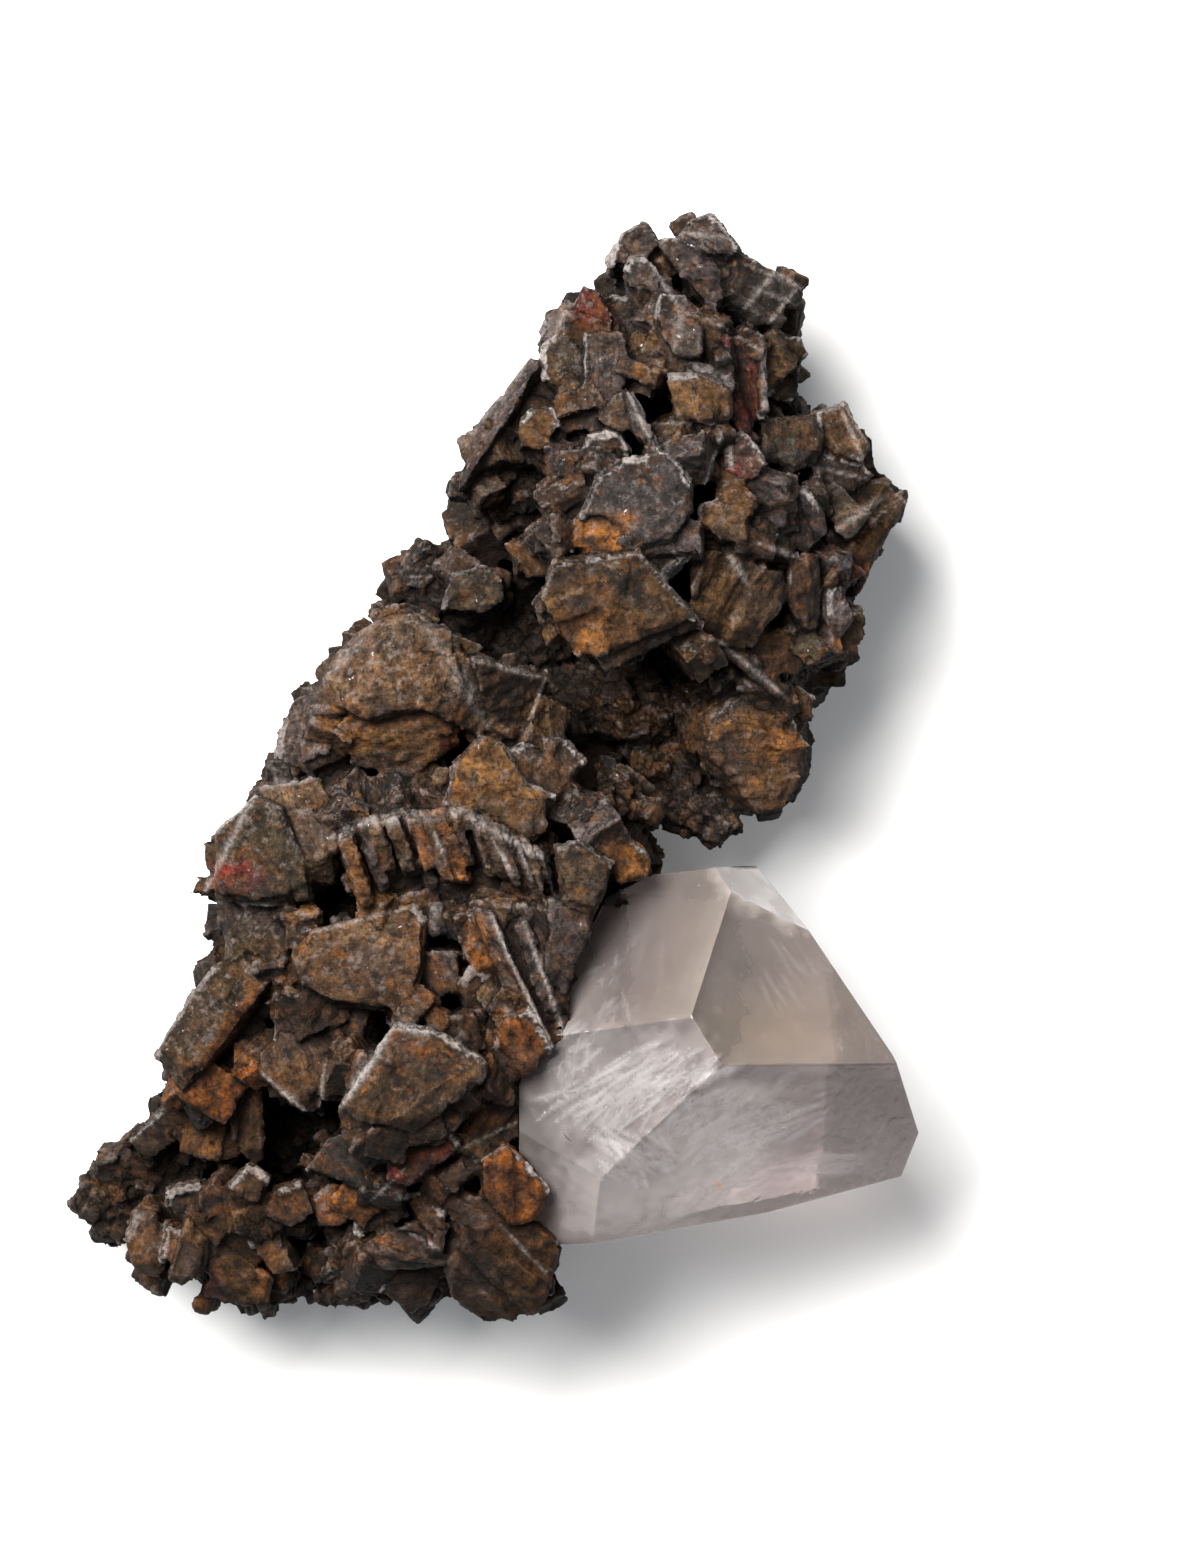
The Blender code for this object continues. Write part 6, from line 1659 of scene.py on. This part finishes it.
class Nodes:
    """A material's nodes; each input is a plain value or the output of another node."""

    def __init__(self, name):
        self.material = bpy.data.materials.new(name)
        self.material.use_nodes = True
        self.tree = self.material.node_tree
        self.tree.nodes.clear()

    def add(self, kind, inputs=None, output=0, **settings):
        """A node; answers one of its outputs."""
        node = self.tree.nodes.new("ShaderNode" + kind)
        for key, value in settings.items():
            setattr(node, key, value)
        for key, value in (inputs or {}).items():
            if isinstance(value, bpy.types.NodeSocket):
                self.tree.links.new(value, node.inputs[key])
            else:
                node.inputs[key].default_value = value
        return node.outputs[output] if node.outputs else node

    def place(self):
        """Where the point is on the object, in millimetres."""
        where = self.add("TexCoord", output="Object")
        return self.add("Mapping", {"Vector": where, "Scale": (1.0 / MM,) * 3})

    def attribute(self, name, output="Fac"):
        """A value stored on the mesh."""
        return self.add("Attribute", output=output, attribute_name=name)

    def noise(self, where, scale, detail, rough=0.65, shift=0.0):
        """Soft noise; the shift keeps one noise from lying on another."""
        moved = self.add("Mapping", {"Vector": where, "Location": (shift, shift * 0.7, -shift)})
        return self.add("TexNoise", {"Vector": moved, "Scale": scale, "Detail": detail,
                                     "Roughness": rough})

    def ramp(self, value, low, high, start=0.0, end=1.0):
        """A value taken from one range to another and held there."""
        return self.add("MapRange", {"Value": value, "From Min": low, "From Max": high,
                                     "To Min": start, "To Max": end})

    def math(self, operation, first, second=0.0):
        """A sum on one or two numbers."""
        return self.add("Math", {0: first, 1: second}, operation=operation)

    def times(self, first, second):
        """Two numbers multiplied."""
        return self.math("MULTIPLY", first, second)

    def mixed(self, share, first, second, blend="MIX"):
        """Two colours mixed."""
        first = first if isinstance(first, bpy.types.NodeSocket) else (*first, 1.0)
        second = second if isinstance(second, bpy.types.NodeSocket) else (*second, 1.0)
        return self.add("Mix", {0: share, 6: first, 7: second}, output=2, data_type="RGBA",
                        blend_type=blend)

    def shaded(self, colour, value):
        """A colour multiplied by a number."""
        grey = self.add("CombineColor", {0: value, 1: value, 2: value})
        return self.mixed(1.0, colour, grey, "MULTIPLY")

    def finished(self, surface, **others):
        """The material with its surface shader and any other output."""
        self.add("OutputMaterial", {"Surface": self.add("BsdfPrincipled", surface), **others})
        return self.material


def crust_material():
    """Iron-stained albite: stain by crystal, pale rims partly painted as highlights, black specks, painted
    glints, and painted shade in the hollows and on the side turned from the light.
    """
    n = Nodes("albite_crust")
    where = n.place()
    rim, broad_bulge_for_shade, painted_shade_depth, phase, block, light_and_dust_side, pale_and_highlit = [
        n.attribute(name) for name in ("rim", "broad_bulge_for_shade", "painted_shade_depth", "phase", "block", "light_and_dust_side", "pale_and_highlit")]
    coarse = n.noise(where, 0.14, 3.0, 0.55, shift=3.0)
    medium = n.noise(where, 0.42, 4.0, 0.6, shift=11.0)
    fine = n.noise(where, 2.2, 4.0, shift=23.0)
    patches = n.noise(where, 0.30, 4.0, 0.6, shift=37.0)
    specks = n.noise(where, 0.95, 4.0, shift=53.0)
    scuffs = n.noise(where, 1.15, 4.0, shift=71.0)
    rust = n.noise(where, 0.80, 4.0, shift=91.0)
    glints = n.noise(where, 1.3, 2.0, 0.6, shift=131.0)

    # Stains within each crystal
    colour = n.shaded(n.attribute("tint", "Color"), n.ramp(medium, 0.34, 0.66, 0.30, 1.80))
    colour = n.shaded(colour, n.ramp(block, 0.15, 0.85, 0.55, 1.50))
    colour = n.mixed(n.ramp(patches, 0.50, 0.64, 0.0, 0.60), colour, (0.085, 0.034, 0.010))
    colour = n.mixed(n.ramp(rust, 0.54, 0.66, 0.0, 0.70), colour, (0.150, 0.056, 0.012))
    colour = n.mixed(n.ramp(coarse, 0.48, 0.62, 0.0, 0.60), colour, (0.034, 0.026, 0.023))

    # Dark lines between plates, and specks
    thin = n.math("FRACT", n.times(phase, 2.0))
    lines = n.times(n.ramp(thin, 0.0, 0.22, 0.6, 0.0), n.ramp(medium, 0.4, 0.6))
    colour = n.mixed(lines, colour, (0.010, 0.007, 0.005))
    colour = n.mixed(n.ramp(specks, 0.52, 0.62, 0.0, 0.80), colour, (0.010, 0.007, 0.006))

    # Pale dust on the faces that look to one side, partly painted light from the side the light comes from
    dust_and_light = n.times(n.ramp(light_and_dust_side, 0.05, 0.85, 0.08, 0.75), n.ramp(scuffs, 0.52, 0.63))
    colour = n.mixed(dust_and_light, colour, (0.180, 0.146, 0.132))
    colour = n.shaded(colour, n.ramp(fine, 0.34, 0.66, 0.38, 1.30))
    # Painted shade on the faces turned away from the light
    colour = n.shaded(colour, n.ramp(light_and_dust_side, -0.35, 0.30, 0.22, 1.0))

    # Worn edges, lighter toward the light as a painted highlight, painted glints, and pale lips that are
    # partly painted highlights
    worn_and_highlit_edges = n.times(n.ramp(rim, 0.09, 0.25), n.ramp(fine, 0.36, 0.56, 0.20, 1.0))
    worn_and_highlit_edges = n.times(worn_and_highlit_edges, n.ramp(light_and_dust_side, -0.20, 0.60, 0.25, 0.90))
    colour = n.mixed(worn_and_highlit_edges, colour, (0.200, 0.165, 0.150))
    # Painted glints, on the faces toward the light
    glint = n.times(n.ramp(glints, 0.725, 0.76), n.ramp(light_and_dust_side, 0.0, 0.5))
    colour = n.mixed(glint, colour, (0.400, 0.385, 0.385))
    edge = n.times(pale_and_highlit, n.ramp(fine, 0.40, 0.58, 0.35, 1.0))
    colour = n.mixed(edge, colour, (0.320, 0.280, 0.262))

    # Painted shade in the hollows
    colour = n.mixed(n.ramp(broad_bulge_for_shade, -0.06, -0.50, 0.0, 0.88), colour, (0.008, 0.005, 0.0035))
    colour = n.mixed(n.ramp(painted_shade_depth, 2.5, 9.0, 0.0, 0.80), colour, (0.010, 0.007, 0.005))

    height = n.math("ADD", n.times(medium, 0.7), n.times(fine, 0.5))
    height = n.math("ADD", height, n.times(thin, 0.12))
    bump = n.add("Bump", {"Height": height, "Strength": 0.9, "Distance": 0.0006})
    return n.finished({"Base Color": colour, "Roughness": n.ramp(fine, 0.3, 0.7, 0.62, 0.92),
                       "Specular IOR Level": 0.16, "Normal": bump})


def quartz_material():
    """Clear to milky quartz, a faint mauve grey."""
    n = Nodes("quartz")
    where = n.place()
    fine = n.noise(where, 0.9, 3.0, 0.5, shift=2.0)
    bump = n.add("Bump", {"Height": fine, "Strength": 0.12, "Distance": 0.0003})
    mist = n.noise(where, 0.16, 4.0, 0.55, shift=5.0)
    colour = n.shaded(n.attribute("tint", "Color"), n.ramp(mist, 0.3, 0.7, 0.88, 1.12))
    haze = n.add("VolumeAbsorption", {"Color": (0.40, 0.16, 0.12, 1.0), "Density": 5.0})
    return n.finished({"Base Color": colour, "Roughness": n.attribute("frost"), "IOR": 1.54,
                       "Transmission Weight": n.attribute("clear"), "Normal": bump}, Volume=haze)


def floor_material():
    """A plain light grey."""
    return Nodes("floor").finished({"Base Color": (*FLOOR_GREY, 1.0), "Roughness": 0.9})


def area_light(name, place, size, power, colour):
    """A soft light that looks at the specimen."""
    data = bpy.data.lights.new(name, "AREA")
    data.size = size
    data.energy = power
    data.color = colour
    obj = placed(name, data)
    obj.location = place
    obj.rotation_euler = (Vector(LIGHT_AIM) - Vector(place)).to_track_quat("-Z", "Y").to_euler()


def build_studio():
    """Floor, light and camera."""
    mesh = bpy.data.meshes.new("floor")
    corners = [(-FLOOR_REACH, -FLOOR_REACH, 0.0), (FLOOR_REACH, -FLOOR_REACH, 0.0),
               (FLOOR_REACH, FLOOR_REACH, 0.0), (-FLOOR_REACH, FLOOR_REACH, 0.0)]
    mesh.from_pydata(corners, [], [(0, 1, 2, 3)])
    mesh.materials.append(floor_material())
    floor = placed("floor", mesh)
    for light in LIGHTS:
        area_light(*light)
    world = bpy.data.worlds.new("studio")
    world.use_nodes = True
    background = world.node_tree.nodes["Background"].inputs
    background["Color"].default_value = (*SKY_COLOUR, 1.0)
    background["Strength"].default_value = SKY_STRENGTH
    bpy.context.scene.world = world

    data = bpy.data.cameras.new("camera")
    data.type = "PERSP"
    data.sensor_width = CAMERA_SENSOR
    data.lens = CAMERA_SENSOR * (CAMERA_ABOVE - VIEW_HEIGHT) / VIEW_TALL
    data.clip_end = 10.0
    camera = placed("camera", data)
    camera.location = Vector((*VIEW_MIDDLE, CAMERA_ABOVE)) * MM
    bpy.context.scene.camera = camera
    bpy.context.scene.view_settings.view_transform = "Standard"


def main():
    """Dress the solids and set the studio."""
    build_studio()
    nodes = {obj.name: obj for obj in bpy.data.objects}
    build_crust(nodes["albite_crust"], crust_material())
    build_quartz(nodes["quartz_crystal"], quartz_material())


main()
